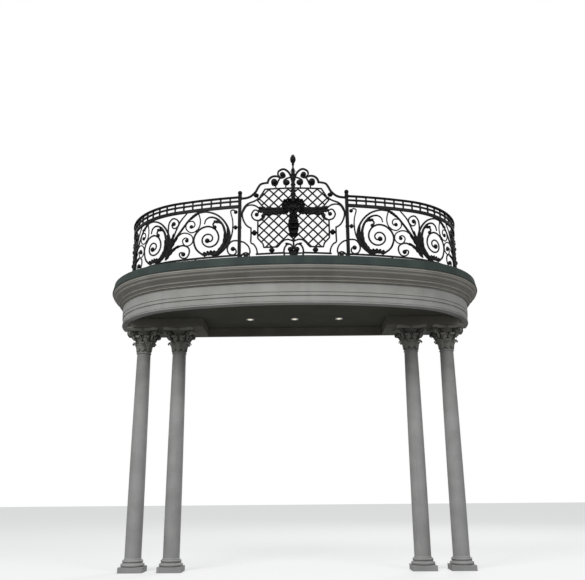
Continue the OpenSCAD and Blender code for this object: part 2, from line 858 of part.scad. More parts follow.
// Outer bar of the panel with its round ears, and the bottom rail
module panel_frame() {
    b = bar_w;
    color(iron)
        wrought_centre(scroll_t + 4, panel_low, panel_high)
            mirrored() {
                panel_bar(smooth([[500, 1015], [578, 966], [682, 925], [741, 856], [763, 760],
                    [741, 663], [695, 581], [630, 533]], 4), [b, 1.2 * b, b], 0);
                panel_bar(smooth([[748, 800], [700, 885], [632, 905], [560, 885], [505, 840]], 4),
                    [0.6 * b, b, b], 0);
                panel_bar(smooth([[630, 540], [627, 485], [627, 400], [627, 306], [585, 275],
                    [545, 205], [530, 120]], 3), [b, b, b], 0);
                panel_bar([[545, 122], [140, 130]], [1.2 * b, 1.2 * b, 1.2 * b], 0);
                panel_bar(smooth([[790, 330], [735, 318], [665, 250], [640, 170], [655, 118]], 4),
                    [b, b, b], 0);
                panel_bar(smooth([[785, 70], [752, 130], [700, 152], [655, 125], [655, 85], [690, 75],
                    [700, 100]], 4), [b, b, 0.9 * b], 1.5 * b);
                panel_bar([[784, 122], [655, 122]], [b, b, b], 0);
                panel_bar([[527, 457], [627, 457]], [0.8 * b, 0.8 * b, 0.8 * b], 0);
                translate(panel([[577, 457]])[0])
                    circle(r = 1.6 * b, $fn = 24);
                panel_bar([[319, 223], [319, 125]], [0.8 * b, 0.8 * b, 0.8 * b], 0);
                translate(panel([[319, 175]])[0])
                    circle(r = 1.6 * b, $fn = 24);
            }
}

// Bars of the lattice, inside the inner frame
module lattice() {
    b = bar_w;
    reach = 700;
    crossing_z = 1069;
    count = ceil(2 * reach / lattice_pitch);
    color(iron)
        wrought_centre(scroll_t, panel_low, panel_high) {
            intersection() {
                mirrored()
                    polygon(panel(lattice_edge));
                translate([0, panel_z(crossing_z)])
                    for (turn = [-45, 45])
                        for (i = [-count : count])
                            translate([i * lattice_pitch, 0])
                                rotate(turn)
                                    square([b * 0.9, 4 * reach], center = true);
            }
            mirrored() {
                for (i = [0 : len(lattice_edge) - 2])
                    panel_bar([lattice_edge[i], lattice_edge[i + 1]], [b, b, b], b / 2);
            }
        }
}

// Ring with a hooked eye at the end of each leaf arm
module side_rings() {
    b = bar_w;
    color(iron)
        wrought_centre(scroll_t + 2, panel_low, panel_high)
            mirrored() {
                panel_bar(smooth([[415, 745], [450, 672], [520, 650], [590, 675], [622, 745],
                    [590, 812], [545, 815], [520, 780], [545, 745]], 4), [b, b, 0.8 * b], 1.4 * b);
            }
}

// Crest over the panel: the hollow-curved top rail, and three scrolls each side of the stem
module crest_scrolls() {
    b = bar_w;
    color(iron)
        wrought_centre(scroll_t + 4, panel_low, panel_high)
            mirrored() {
                panel_bar(smooth([[776, 1018], [695, 1024], [630, 1050], [565, 1112], [522, 1190],
                    [480, 1238], [384, 1255]], 4), [1.5 * b, 1.5 * b, 1.3 * b], 0);
                panel_bar(smooth([[384, 1250], [360, 1315], [305, 1354], [240, 1354], [176, 1328],
                    [124, 1350], [135, 1395], [160, 1385]], 4), [1.5 * b, 1.3 * b, b], 1.7 * b);
                panel_bar(smooth([[16, 1290], [58, 1406], [137, 1470], [213, 1440], [226, 1378],
                    [180, 1330]], 4), [1.4 * b, 1.3 * b, b], 0);
                panel_bar(smooth([[190, 1335], [222, 1280], [250, 1215], [300, 1212], [318, 1250],
                    [285, 1268]], 4), [b, b, 0.9 * b], 1.8 * b);
                panel_bar(smooth([[14, 1335], [80, 1322], [136, 1282], [132, 1225], [86, 1215],
                    [92, 1250]], 4), [b, b, 0.9 * b], 1.6 * b);
                panel_bar([[260, 1225], [260, 1150]], [0.9 * b, 0.9 * b, 0.9 * b], 0);
                panel_bar([[110, 1222], [110, 1150]], [0.9 * b, 0.9 * b, 0.9 * b], 0);
                panel_bar([[562, 1108], [528, 1000]], [0.8 * b, 0.8 * b, 0.8 * b], 0);
                translate(panel([[556, 1052]])[0])
                    circle(r = 1.7 * b, $fn = 24);
            }
}

// Pair of scrolls at the foot of the panel
module foot_scrolls() {
    b = bar_w;
    color(iron)
        wrought_centre(scroll_t + 4, panel_low, panel_high)
            mirrored() {
                panel_bar(smooth([[0, 335], [60, 330], [128, 280], [158, 205], [140, 130], [85, 108],
                    [42, 140], [45, 195], [72, 200]], 4), [1.2 * b, b, 0.9 * b], 1.8 * b);
                panel_bar([[0, 350], [0, 140]], [1.6 * b, 1.6 * b, 1.6 * b], 0);
                panel_bar([[0, 140], [60, 120]], [b, b, b], 0);
            }
}

// A lobed leaf in the panel's drawing, from its root at q, turned by a from upright
module panel_leaf(q, a, w, h) {
    translate(panel([q])[0])
        rotate(a)
            leaf_outline(w, h);
}

// Leaf cluster, leaf drop and the two leaf arms, as overlapping lobed plates. Each row is a
// root, a turn from upright, a width and a height
cluster_leaves = [
    [[10, 800], 0, 120, 190], [[25, 800], -24, 110, 190], [[40, 790], -50, 110, 170],
        [[45, 790], -80, 100, 140],
    [[35, 790], -118, 100, 120], [[15, 790], -150, 100, 150], [[60, 790], -96, 70, 170],
        [[190, 800], -78, 80, 170],
    [[190, 780], -110, 70, 130], [[320, 790], -84, 84, 190], [[320, 785], -112, 70, 130],
        [[440, 790], -70, 60, 90],
    [[0, 650], 180, 100, 150], [[10, 640], -152, 70, 120], [[0, 540], 180, 80, 130],
        [[8, 560], -155, 60, 110], [[0, 450], 180, 50, 92]
];
module leaf_cluster() {
    color(iron)
        wrought_centre(scroll_t + 24, panel_low, panel_high)
            mirrored() {
                for (leaf = cluster_leaves)
                    panel_leaf(leaf[0], leaf[1], leaf[2], leaf[3]);
                panel_bar([[0, 820], [0, 400]], [3 * bar_w, 2 * bar_w, bar_w], 0);
                panel_bar([[0, 790], [480, 786]], [2 * bar_w, 1.6 * bar_w, bar_w], 0);
            }
}

// The central stem with its leaf collar and bud
module finial() {
    color(iron)
        translate([0, front_c - rail_front_r, 0])
            rotate_extrude($fn = 32)
                polygon(concat(
                    [[0, panel_z(980)], [22, panel_z(980)]],
                    smooth([[26, panel_z(1000)], [30, panel_z(1180)], [33, panel_z(1300)],
                        [27, panel_z(1400)], [18, panel_z(1432)]], 3),
                    arc([15, panel_z(1461)], 16, -70, 80, 5),
                    [[13, panel_z(1500)], [13, panel_z(1530)], [22, panel_z(1545)], [14, panel_z(1558)]],
                    smooth([[18, panel_z(1570)], [38, panel_z(1612)], [42, panel_z(1645)],
                        [27, panel_z(1680)], [10, panel_z(1702)]], 3),
                    [[6, panel_z(1712)], [0, panel_z(1721)]]
                ));
}

slab_core();
deck_finish();
edge_band();
cornice_crown();
fascia();
architrave();
ceiling();
ceiling_light_left();
ceiling_light_centre();
ceiling_light_right();
drop_block_left();
drop_block_right();
wall_beam();
base_outer_left();
base_inner_left();
base_inner_right();
base_outer_right();
shaft_outer_left();
shaft_inner_left();
shaft_inner_right();
shaft_outer_right();
capital_outer_left();
capital_inner_left();
capital_inner_right();
capital_outer_right();
frieze_left();
frieze_right();
bottom_rail_left();
bottom_rail_right();
scrolls_left_first();
scrolls_left_middle();
scrolls_left_last();
scrolls_right_first();
scrolls_right_middle();
scrolls_right_last();
post_left();
post_right();
wall_post_left();
wall_post_right();
panel_frame();
lattice();
side_rings();
crest_scrolls();
foot_scrolls();
leaf_cluster();
finial();
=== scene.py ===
from math import asin, atan2, copysign, cos, exp, pi, radians, sin, sqrt

import bpy
from mathutils import Matrix, Vector


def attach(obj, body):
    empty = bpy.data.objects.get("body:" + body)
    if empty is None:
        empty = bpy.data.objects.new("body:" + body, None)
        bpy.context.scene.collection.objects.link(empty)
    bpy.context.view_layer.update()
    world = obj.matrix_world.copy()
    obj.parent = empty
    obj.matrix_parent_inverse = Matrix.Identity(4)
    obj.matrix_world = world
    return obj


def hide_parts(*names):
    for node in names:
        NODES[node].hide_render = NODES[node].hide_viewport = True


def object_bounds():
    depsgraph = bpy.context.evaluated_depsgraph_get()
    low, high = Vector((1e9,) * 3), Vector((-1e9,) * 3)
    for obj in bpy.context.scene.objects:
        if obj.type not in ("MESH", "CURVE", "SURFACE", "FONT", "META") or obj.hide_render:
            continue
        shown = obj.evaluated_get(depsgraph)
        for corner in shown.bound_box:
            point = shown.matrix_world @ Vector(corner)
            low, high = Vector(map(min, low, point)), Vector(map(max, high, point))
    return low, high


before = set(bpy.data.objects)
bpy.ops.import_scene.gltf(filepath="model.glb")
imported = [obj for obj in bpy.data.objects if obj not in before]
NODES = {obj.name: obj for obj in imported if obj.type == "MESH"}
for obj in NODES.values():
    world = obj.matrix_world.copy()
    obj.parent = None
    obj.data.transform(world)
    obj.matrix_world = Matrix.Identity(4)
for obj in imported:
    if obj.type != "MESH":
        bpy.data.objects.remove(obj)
cad_low, cad_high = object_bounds()
UP = Vector((0, 0, 1))
BOTH_WAYS = (1, -1)
SIDES = {"left": -1, "right": 1}

# The part's main sizes, in metres, as its solids have them
SLAB_W, SLAB_OUT, FRONT_R = 5.970, 1.870, 5.940
HALF_W = SLAB_W / 2
END_R = (2 * FRONT_R * SLAB_OUT - SLAB_OUT ** 2 - HALF_W ** 2) / (2 * (FRONT_R - HALF_W))
END_C = HALF_W - END_R
FRONT_C = FRONT_R - SLAB_OUT
JOIN_A = atan2(FRONT_C, END_C)
DECK_Z = 0.135
RAIL_INSET = 0.295
RAIL_H = 1.055
BAND_H = 0.187
BAND_PITCH = 0.145
FOOT_GAP = 0.130
POST_X = 0.800
CREST_H = 1.721
COLUMNS = {
    "outer_left": (-2.345, -0.530),
    "inner_left": (-1.795, -0.530),
    "inner_right": (1.795, -0.530),
    "outer_right": (2.345, -0.530),
}
CAPITAL_Z, CAPITAL_H = -0.985, 0.357
NECK_R = 0.1025
ABACUS_W = 0.475
ABACUS_H = CAPITAL_H * 0.13
BELL_H = CAPITAL_H - ABACUS_H
LIP_R = ABACUS_W * 0.34
LIGHT_PITCH, LIGHT_Y, LIGHT_Z = 0.690, -0.650, -0.4992

# Width of a plain forged bar, and its thickness through the railing
BAR = 0.024
SCROLL_T = 0.016
EVEN = (1.0, 1.0, 1.0)
# Thickness of the leaves
SCROLL_SHEET, CLUSTER_SHEET, STEM_SHEET, CAPITAL_SHEET = 0.0035, 0.004, 0.003, 0.009
# Rounding of a solid's edges, and the least radius of a turned shape
IRON_EDGE, STONE_EDGE = 0.0025, 0.004
HAIR = 1e-5


def add_object(name, data):
    made = bpy.data.objects.new(name, data)
    bpy.context.scene.collection.objects.link(made)
    return made


# Camera, first, at the photograph's viewing angle

CAMERA_AT = Vector((0.057, -11.0, -3.099))
PITCH, ROLL, YAW = (radians(a) for a in (16.528, -0.470, 0.480))
PHOTO_W, FOCAL_IN_PIXELS = 585, 686
FILM_W = 36


def add_camera():
    right = Vector((cos(YAW), sin(YAW), 0))
    level = Vector((-sin(YAW), cos(YAW), 0))
    ahead = level * cos(PITCH) + UP * sin(PITCH)
    over = UP * cos(PITCH) - level * sin(PITCH)
    tilted_right = right * cos(ROLL) + over * sin(ROLL)
    tilted_up = over * cos(ROLL) - right * sin(ROLL)
    data = bpy.data.cameras.new("camera")
    data.lens = FOCAL_IN_PIXELS / PHOTO_W * FILM_W
    data.sensor_width = FILM_W
    data.clip_end = 200
    camera = add_object("camera", data)
    turn = Matrix((tilted_right, tilted_up, -ahead)).transposed()
    camera.matrix_world = Matrix.Translation(CAMERA_AT) @ turn.to_4x4()
    bpy.context.scene.camera = camera


add_camera()

# Shader sums


class Value:
    """A socket that can be used in sums: each operator adds one Math node."""

    def __init__(self, nodes, socket):
        self.nodes = nodes
        self.socket = socket

    def math(self, operation, first, second):
        return self.nodes.node("ShaderNodeMath", {"operation": operation}, [first, second])

    def __add__(self, other):
        return self.math("ADD", self, other)

    def __mul__(self, other):
        return self.math("MULTIPLY", self, other)

    def __rsub__(self, other):
        return self.math("SUBTRACT", other, self)

    __radd__ = __add__
    __rmul__ = __mul__

    def either(self, other):
        return self.math("MAXIMUM", self, other)

    def between(self, low, high):
        """0 below low, 1 above high, and a smooth rise between them."""
        settings = {"interpolation_type": "SMOOTHSTEP"}
        inputs = {"Value": self, "From Min": low, "From Max": high}
        return self.nodes.node("ShaderNodeMapRange", settings, inputs)

    def beside(self, output):
        """Another output of the same node."""
        return Value(self.nodes, self.socket.node.outputs[output])


class Nodes:
    """A node tree, and the one way that nodes are added to it."""

    def __init__(self, tree):
        self.tree = tree

    def link(self, socket, value):
        if isinstance(value, Value):
            self.tree.links.new(value.socket, socket)
        else:
            socket.default_value = value

    def node(self, kind, settings=None, inputs=(), output=0):
        made = self.tree.nodes.new(kind)
        for key, value in (settings or {}).items():
            setattr(made, key, value)
        pairs = inputs.items() if isinstance(inputs, dict) else enumerate(inputs)
        for key, value in pairs:
            self.link(made.inputs[key], value)
        return Value(self, made.outputs[output]) if made.outputs else None


class Paint(Nodes):
    """One material and the nodes it is made of."""

    def __init__(self, name):
        self.material = bpy.data.materials.new(name)
        self.material.use_nodes = True
        super().__init__(self.material.node_tree)
        self.shader = self.tree.nodes["Principled BSDF"]

    def place(self):
        """Position on the object, in metres."""
        return self.node("ShaderNodeTexCoord", output="Object")

    def noise(self, scale, detail=3.0, stretch=(1, 1, 1)):
        """Clouds, stretched along the object's axes."""
        spot = self.node("ShaderNodeVectorMath", {"operation": "MULTIPLY"}, [self.place(), stretch])
        inputs = {"Vector": spot, "Scale": scale, "Detail": detail, "Roughness": 0.55}
        return self.node("ShaderNodeTexNoise", None, inputs)

    def cells(self, scale, feature="F1"):
        inputs = {"Vector": self.place(), "Scale": scale}
        return self.node("ShaderNodeTexVoronoi", {"feature": feature}, inputs)

    def mix(self, share, first, second):
        """A colour that goes from first to second as share goes from 0 to 1."""
        sockets = {0: share, 6: first, 7: second}
        return self.node("ShaderNodeMix", {"data_type": "RGBA"}, sockets, output=2)

    def upright_part(self, of):
        """The Z part of the surface's Position or Normal."""
        whole = self.node("ShaderNodeNewGeometry", output=of)
        return self.node("ShaderNodeSeparateXYZ", None, [whole], output="Z")

    def bump(self, height, depth, below=None):
        inputs = {"Height": height, "Distance": depth, "Strength": 1.0}
        if below is not None:
            inputs["Normal"] = below
        return self.node("ShaderNodeBump", None, inputs)

    def surface(self, **inputs):
        for name, value in inputs.items():
            self.link(self.shader.inputs[name.replace("_", " ").title()], value)
        return self.material


def rgb(red, green, blue):
    return (red, green, blue, 1.0)


# Finishes


def black_iron():
    """Wrought iron in satin black paint: hammer marks, a little dust on top and dull patches."""
    paint = Paint("black_iron")
    hammer = paint.cells(55, "SMOOTH_F1")
    grain = paint.noise(420, 2)
    patches = paint.noise(9, 4)
    dust = paint.upright_part("Normal").between(0.6, 1.0) * patches.between(0.4, 0.8)
    worn = patches.between(0.45, 0.8) * 0.6
    colour = paint.mix(worn, rgb(0.0028, 0.0028, 0.0031), rgb(0.0075, 0.0075, 0.0080))
    colour = paint.mix(dust * 0.3, colour, rgb(0.06, 0.057, 0.05))
    paint.shader.inputs["Specular IOR Level"].default_value = 0.12
    rough = 0.42 + 0.2 * patches + 0.2 * dust
    normal = paint.bump(grain, 0.00025, paint.bump(hammer, 0.0012))
    return paint.surface(base_color=colour, roughness=rough, normal=normal)


def edge_paint():
    """Dark green-grey painted sheet metal, faintly streaked and mottled."""
    paint = Paint("edge_paint")
    streaks = paint.noise(3.2, 5, (1, 1, 0.12))
    mottle = paint.noise(26, 4)
    colour = paint.mix(streaks.between(0.38, 0.7), rgb(0.024, 0.035, 0.032), rgb(0.035, 0.049, 0.044))
    colour = paint.mix(mottle.between(0.55, 0.8) * 0.35, colour, rgb(0.060, 0.074, 0.067))
    paint.shader.inputs["Specular IOR Level"].default_value = 0.15
    dents = paint.bump(paint.noise(2.4, 2), 0.003)
    normal = paint.bump(paint.noise(300, 2), 0.0002, dents)
    return paint.surface(base_color=colour, roughness=0.6 + 0.2 * mottle, normal=normal)


def render_coat(name, pale, dark, sand=0.0009, sand_scale=520):
    """Sanded render on the mouldings: fine grain, soft mottling and rain streaks down the face."""
    paint = Paint(name)
    sand_grain = paint.noise(sand_scale, 3)
    pits = paint.cells(sand_scale * 0.35)
    mottle = paint.noise(2.6, 6)
    streaks = paint.noise(7, 5, (1, 1, 0.08))
    ledges = paint.upright_part("Normal").between(0.2, 0.9)
    colour = paint.mix(mottle.between(0.3, 0.72), rgb(*pale), rgb(*dark))
    colour = paint.mix(streaks.between(0.55, 0.82) * 0.3, colour, rgb(*(0.72 * c for c in dark)))
    colour = paint.mix(ledges * 0.4, colour, rgb(*(0.6 * c for c in dark)))
    rough = 0.78 + 0.15 * sand_grain
    normal = paint.bump(sand_grain, sand, paint.bump(pits, sand * 0.6))
    return paint.surface(base_color=colour, roughness=rough, normal=normal)


def column_stone():
    """Smooth cast stone: fine pores, faint clouds, and painted shade that darkens the shafts' tops under the
    ceiling.
    """
    paint = Paint("column_stone")
    clouds = paint.noise(3.5, 6)
    pores = paint.cells(240)
    grain = paint.noise(700, 2)
    streaks = paint.noise(9, 4, (1, 1, 0.05))
    colour = paint.mix(clouds.between(0.32, 0.7), rgb(0.300, 0.301, 0.295), rgb(0.250, 0.251, 0.245))
    colour = paint.mix(streaks.between(0.55, 0.8) * 0.4, colour, rgb(0.20, 0.20, 0.192))
    colour = paint.mix((1 - pores.between(0.04, 0.16)) * 0.5, colour, rgb(0.16, 0.157, 0.145))
    # Painted shade: the shafts grow darker towards their tops, where the ceiling shades them
    painted_top_shade = paint.upright_part("Position").between(-2.1, -1.0)
    colour = paint.mix(painted_top_shade * (0.3 + 0.5 * clouds), colour, rgb(0.125, 0.124, 0.115))
    normal = paint.bump(grain, 0.0003, paint.bump(pores.between(0.0, 0.2), 0.0005))
    return paint.surface(base_color=colour, roughness=0.6 + 0.2 * clouds, normal=normal)


def capital_stone():
    """The column's stone on the carved capitals, with painted shade, nearly black, in their hollows."""
    paint = Paint("capital_stone")
    clouds = paint.noise(6, 5)
    grain = paint.noise(600, 2)
    # Painted shade: ambient occlusion darkens the carving's hollows nearly to black
    open_air = paint.node("ShaderNodeAmbientOcclusion", {"samples": 6}, {"Distance": 0.06}, output="AO")
    colour = paint.mix(clouds.between(0.32, 0.7), rgb(0.205, 0.202, 0.180), rgb(0.155, 0.152, 0.134))
    colour = paint.mix((1 - open_air.between(0.35, 0.95)) * 0.95, colour, rgb(0.028, 0.027, 0.019))
    return paint.surface(base_color=colour, roughness=0.7 + 0.15 * clouds, normal=paint.bump(grain, 0.0004))


def deck_stone():
    """Square stone slabs with sunk joints."""
    paint = Paint("deck_stone")
    slab, joint = 0.45, 0.006
    laid = {
        "Vector": paint.place(), "Scale": 1 / slab, "Brick Width": 1.0, "Row Height": 1.0,
        "Mortar Size": joint / slab, "Mortar Smooth": 0.3, "Mortar": rgb(0.14, 0.135, 0.125),
        "Color1": rgb(0.36, 0.35, 0.33), "Color2": rgb(0.30, 0.295, 0.28),
    }
    slabs = paint.node("ShaderNodeTexBrick", {"offset": 0.0}, laid)
    joints = slabs.beside("Fac")
    speckle = paint.noise(160, 4)
    damp = paint.noise(2.2, 5)
    colour = paint.mix(speckle.between(0.45, 0.7) * 0.35, slabs, rgb(0.48, 0.47, 0.45))
    colour = paint.mix(damp.between(0.45, 0.7) * 0.35, colour, rgb(0.19, 0.185, 0.17))
    normal = paint.bump(speckle, 0.0004, paint.bump(1 - joints, 0.003))
    return paint.surface(base_color=colour, roughness=0.55 + 0.3 * speckle, normal=normal)


def lamp_rim():
    paint = Paint("light_rim")
    brushed = paint.noise(90, 3)
    rough = 0.3 + 0.25 * brushed
    normal = paint.bump(brushed, 0.0002)
    return paint.surface(base_color=rgb(0.72, 0.72, 0.69), roughness=rough, metallic=0.6, normal=normal)


def lamp_glass():
    paint = Paint("lamp_glass")
    ribs = paint.cells(180)
    glow = paint.mix(ribs.between(0.1, 0.6), rgb(1.0, 0.93, 0.78), rgb(0.9, 0.8, 0.6))
    return paint.surface(
        base_color=rgb(0.8, 0.78, 0.7), roughness=0.3 + 0.1 * ribs, normal=paint.bump(ribs, 0.001),
        emission_color=glow, emission_strength=0.9,
    )


IRON = black_iron()
EDGE = edge_paint()
CROWN_STONE = render_coat("warm_stone", (0.285, 0.276, 0.244), (0.232, 0.223, 0.195))
FASCIA_STONE = render_coat("pale_render", (0.300, 0.298, 0.284), (0.250, 0.247, 0.234), 0.0006)
# Painted shade: the drop blocks and wall beam under the slab get a darker copy of the render for the shade
# they stand in
SHADED_PORCH_COAT = render_coat("porch_render_painted_shade", (0.125, 0.122, 0.100), (0.095, 0.092, 0.074), 0.0010)
# Painted shade: the ceiling keeps the render's own olive tone but is darkened nearly to black for the shade
# under the slab
SHADED_CEILING_COAT = render_coat("ceiling_render", (0.048, 0.048, 0.034), (0.036, 0.036, 0.025), 0.0012, 300)
COLUMN = column_stone()
CAPITAL = capital_stone()
DECK = deck_stone()
RIM = lamp_rim()
LENS = lamp_glass()

# The first start of a node's name that fits gives its finish; the others are iron
NODE_FINISH = [
    ("slab_core", CROWN_STONE), ("cornice_crown", CROWN_STONE), ("drop_block", SHADED_PORCH_COAT),
    ("wall_beam", SHADED_PORCH_COAT), ("fascia", FASCIA_STONE), ("architrave", FASCIA_STONE),
    ("ceiling_light", RIM), ("ceiling", SHADED_CEILING_COAT), ("deck_finish", DECK), ("edge_band", EDGE),
    ("base_", COLUMN), ("shaft_", COLUMN), ("capital_", CAPITAL),
]


def finish_for(name):
    for start, material in NODE_FINISH:
        if name.startswith(start):
            return material
    return IRON


for name, node in NODES.items():
    node.data.materials.clear()
    node.data.materials.append(finish_for(name))

# Shapes


class Shape:
    """Vertices and faces that are gathered into one piece."""

    def __init__(self):
        self.vertices = []
        self.faces = []

    def grid(self, rows, closed=False):
        """Faces over rows of points; closed joins each row's end to its start and caps both ends."""
        first = len(self.vertices)
        count = len(rows[0])
        for row in rows:
            self.vertices.extend(Vector(p) for p in row)
        for i in range(len(rows) - 1):
            for j in range(count if closed else count - 1):
                a = first + i * count + j
                b = first + i * count + (j + 1) % count
                self.faces.append((a, b, b + count, a + count))
        if closed:
            last = first + (len(rows) - 1) * count
            self.faces.append(tuple(first + j for j in reversed(range(count))))
            self.faces.append(tuple(last + j for j in range(count)))

    def lathe(self, at, axis, profile, steps):
        """Turns a profile of (radius, height) pairs about an axis; a pointed end is left a hair wide."""
        axis = Vector(axis).normalized()
        side = axis.orthogonal().normalized()
        over = axis.cross(side)
        rows = []
        for radius, height in profile:
            middle = Vector(at) + axis * height
            turns = [2 * pi * k / steps for k in range(steps)]
            radius = max(radius, HAIR)
            rows.append([middle + (side * cos(a) + over * sin(a)) * radius for a in turns])
        self.grid(rows, closed=True)

    def ball(self, at, axis, radius, half_height, steps=16):
        turns = steps // 2
        profile = []
        for i in range(turns + 1):
            a = pi * i / turns - pi / 2
            profile.append((radius * cos(a), half_height * sin(a)))
        self.lathe(at, axis, profile, steps)

    def mesh_object(self, name, material, smooth_angle):
        mesh = bpy.data.meshes.new(name)
        mesh.from_pydata(self.vertices, [], self.faces)
        mesh.validate()
        mesh.materials.append(material)
        made = add_object(name, mesh)
        mesh.shade_smooth()
        if smooth_angle is not None:
            mesh.set_sharp_from_angle(angle=radians(smooth_angle))
        return made

    def piece(self, name, material, slot, smooth_angle=40, replaces=()):
        made = self.mesh_object(name, material, smooth_angle)
        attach(made, "root")
        if replaces:
            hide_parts(*replaces)
        return made

    def iron(self, name, *replaces):
        self.piece(name, IRON, "black_iron", replaces=replaces)

    def iron_leaves(self, name, thickness):
        thicken(self.piece(name, IRON, "black_iron", None), thickness)


def thicken(piece, thickness):
    """Gives a leaf's sheet its thickness and rounds it."""
    shell = piece.modifiers.new("thickness", "SOLIDIFY")
    shell.thickness = thickness
    shell.offset = 0
    rounder = piece.modifiers.new("rounder", "SUBSURF")
    rounder.levels = 1
    rounder.render_levels = 1


def soften(node, width):
    """Rounds a solid's sharp edges for the light, without touching its mesh."""
    edge = node.modifiers.new("soft_edges", "BEVEL")
    edge.width = width
    edge.segments = 2
    edge.limit_method = "ANGLE"
    edge.angle_limit = radians(35)


def smooth(points, steps):
    """A Catmull-Rom curve through the points, as the solids' outlines use."""
    p = [Vector(q) for q in points]
    made = []
    for i in range(len(p) - 1):
        a, b, c, d = p[max(i - 1, 0)], p[i], p[i + 1], p[min(i + 2, len(p) - 1)]
        for j in range(steps):
            t = j / steps
            square = (2 * a - 5 * b + 4 * c - d) * t * t
            cube = (3 * b - a - 3 * c + d) * t ** 3
            made.append(0.5 * (2 * b + (c - a) * t + square + cube))
    made.append(p[-1])
    return made


def spiral(cx, cy, r0, r1, a0, sweep, count):
    made = []
    for i in range(count + 1):
        t = i / count
        r = r1 + (r0 - r1) * (1 - t ** 1.3)
        a = radians(a0 + sweep * t)
        made.append(Vector((cx + r * cos(a), cy + r * sin(a))))
    return made


def evenly(points, count):
    """count points at equal distances along a line."""
    lengths = [0.0]
    for a, b in zip(points, points[1:]):
        lengths.append(lengths[-1] + (b - a).length)
    made = []
    i = 0
    for k in range(count):
        want = lengths[-1] * k / (count - 1)
        while i < len(points) - 2 and lengths[i + 1] < want:
            i += 1
        share = (want - lengths[i]) / (lengths[i + 1] - lengths[i])
        made.append(points[i].lerp(points[i + 1], share))
    return made


def ahead_at(line, i):
    """The direction of a line of points at one of them."""
    return (line[min(i + 1, len(line) - 1)] - line[max(i - 1, 0)]).normalized()


def around_axis(a):
    """The directions away from the upright axis and across it, at angle a."""
    return Vector((cos(a), sin(a), 0)), Vector((-sin(a), cos(a), 0))


# The railing's curved sheet: s runs from the panel's post to the wall

RAIL_FRONT_R = FRONT_R - RAIL_INSET
RAIL_END_R = END_R - RAIL_INSET
POST_A = asin(POST_X / RAIL_FRONT_R)
FRONT_RUN = RAIL_FRONT_R * (pi / 2 - JOIN_A - POST_A)
SIDE_RUN = FRONT_RUN + RAIL_END_R * JOIN_A
SCROLL_LOW = DECK_Z + FOOT_GAP
SCROLL_HIGH = DECK_Z + RAIL_H - BAND_H

# One bay of scrolls, and the centre panel, as they are drawn flat, in millimetres
CELL_W, CELL_H, CELL_FOOT = 966, 738, 130
PANEL_HALF_W, PANEL_RAIL, PANEL_TOP = 800, 1055, 1721
GAP_BY_POST = 0.168
LAST_CELL = 0.6
FULL_CELL = (SIDE_RUN - GAP_BY_POST) / (2 + LAST_CELL)


def rail_point(s, z, side):
    """A point of the railing's middle surface and the outward direction there."""
    if s < FRONT_RUN:
        a = -pi / 2 + POST_A + s / RAIL_FRONT_R
        x, y = RAIL_FRONT_R * cos(a), FRONT_C + RAIL_FRONT_R * sin(a)
    else:
        a = -JOIN_A + (s - FRONT_RUN) / RAIL_END_R
        x, y = END_C + RAIL_END_R * cos(a), RAIL_END_R * sin(a)
    return Vector((side * x, y, z)), Vector((side * cos(a), sin(a), 0))


def panel_point(x, z):
    """The same for the centre panel, by distance from its middle line."""
    a = -pi / 2 + asin(x / RAIL_FRONT_R)
    out = Vector((cos(a), sin(a), 0))
    return Vector((x, FRONT_C - sqrt(RAIL_FRONT_R ** 2 - x * x), z)), out


def on_cell(start, side):
    """Maps a point of the bay's drawing to the railing."""

    def place(q):
        s = start + q[0] * FULL_CELL / CELL_W
        z = SCROLL_LOW + (q[1] - CELL_FOOT) * (SCROLL_HIGH - SCROLL_LOW) / CELL_H
        return rail_point(s, z, side)

    return place


def panel_height(z):
    """The real height of a drawn height above the deck."""
    if z <= PANEL_RAIL:
        return DECK_Z + z * RAIL_H / PANEL_RAIL
    return DECK_Z + RAIL_H + (z - PANEL_RAIL) * (CREST_H - RAIL_H) / (PANEL_TOP - PANEL_RAIL)


def on_panel(side):
    """Maps a point of the panel's drawing to the panel."""

    def place(q):
        return panel_point(side * q[0] * POST_X / PANEL_HALF_W, panel_height(q[1]))

    return place


WHOLE_PANEL = on_panel(1)

# Bars


def width_along(widths, t):
    """The width at share t of a bar's length."""
    low = min(int(t * (len(widths) - 1)), len(widths) - 2)
    share = t * (len(widths) - 1) - low
    return widths[low] * (1 - share) + widths[low + 1] * share


def bar(shape, points, place, widths, thickness=SCROLL_T, sides=10, forward=0.0):
    """A bar along a drawn line, with rounded flat sides and rounded ends."""
    flatness = 0.55
    spots = [place(q) for q in points]
    line = [at for at, out in spots]
    last = len(line) - 1
    rows = []
    for i, (at, out) in enumerate(spots):
        along = ahead_at(line, i)
        across = along.cross(out).normalized()
        half = width_along(widths, i / last) / 2
        shrink = [(1.0, 0.0)]
        if i == 0:
            shrink = [(0.45, -0.8), (0.85, -0.5), (1.0, 0.0)]
        elif i == last:
            shrink = [(1.0, 0.0), (0.85, 0.5), (0.45, 0.8)]
        for size, step in shrink:
            ring = []
            for k in range(sides):
                a = 2 * pi * (k + 0.5) / sides
                c, d = cos(a), sin(a)
                u = copysign(abs(c) ** flatness, c) * half * size
                v = copysign(abs(d) ** flatness, d) * thickness / 2 * size
                ring.append(at + along * step * half + across * u + out * (v + forward))
            rows.append(ring)
    shape.grid(rows, closed=True)


def stroke(points, widths=EVEN, eye=0.0, thick=SCROLL_T, forward=0.0, steps=6):
    """A forged bar as it is drawn: its curve, its widths in bar sizes, and the ball rolled into its end."""
    return smooth(points, steps), widths, eye, thick, forward


def straight(points, widths=EVEN, thick=SCROLL_T, forward=0.0):
    return stroke(points, widths, 0.0, thick, forward, steps=1)


def forge(shape, place, strokes):
    for line, widths, eye, thick, forward in strokes:
        bar(shape, line, place, [w * BAR for w in widths], thick, forward=forward)
        if eye:
            at, out = place(line[-1])
            shape.ball(at + out * forward, out, eye * BAR, eye * BAR * 0.75)


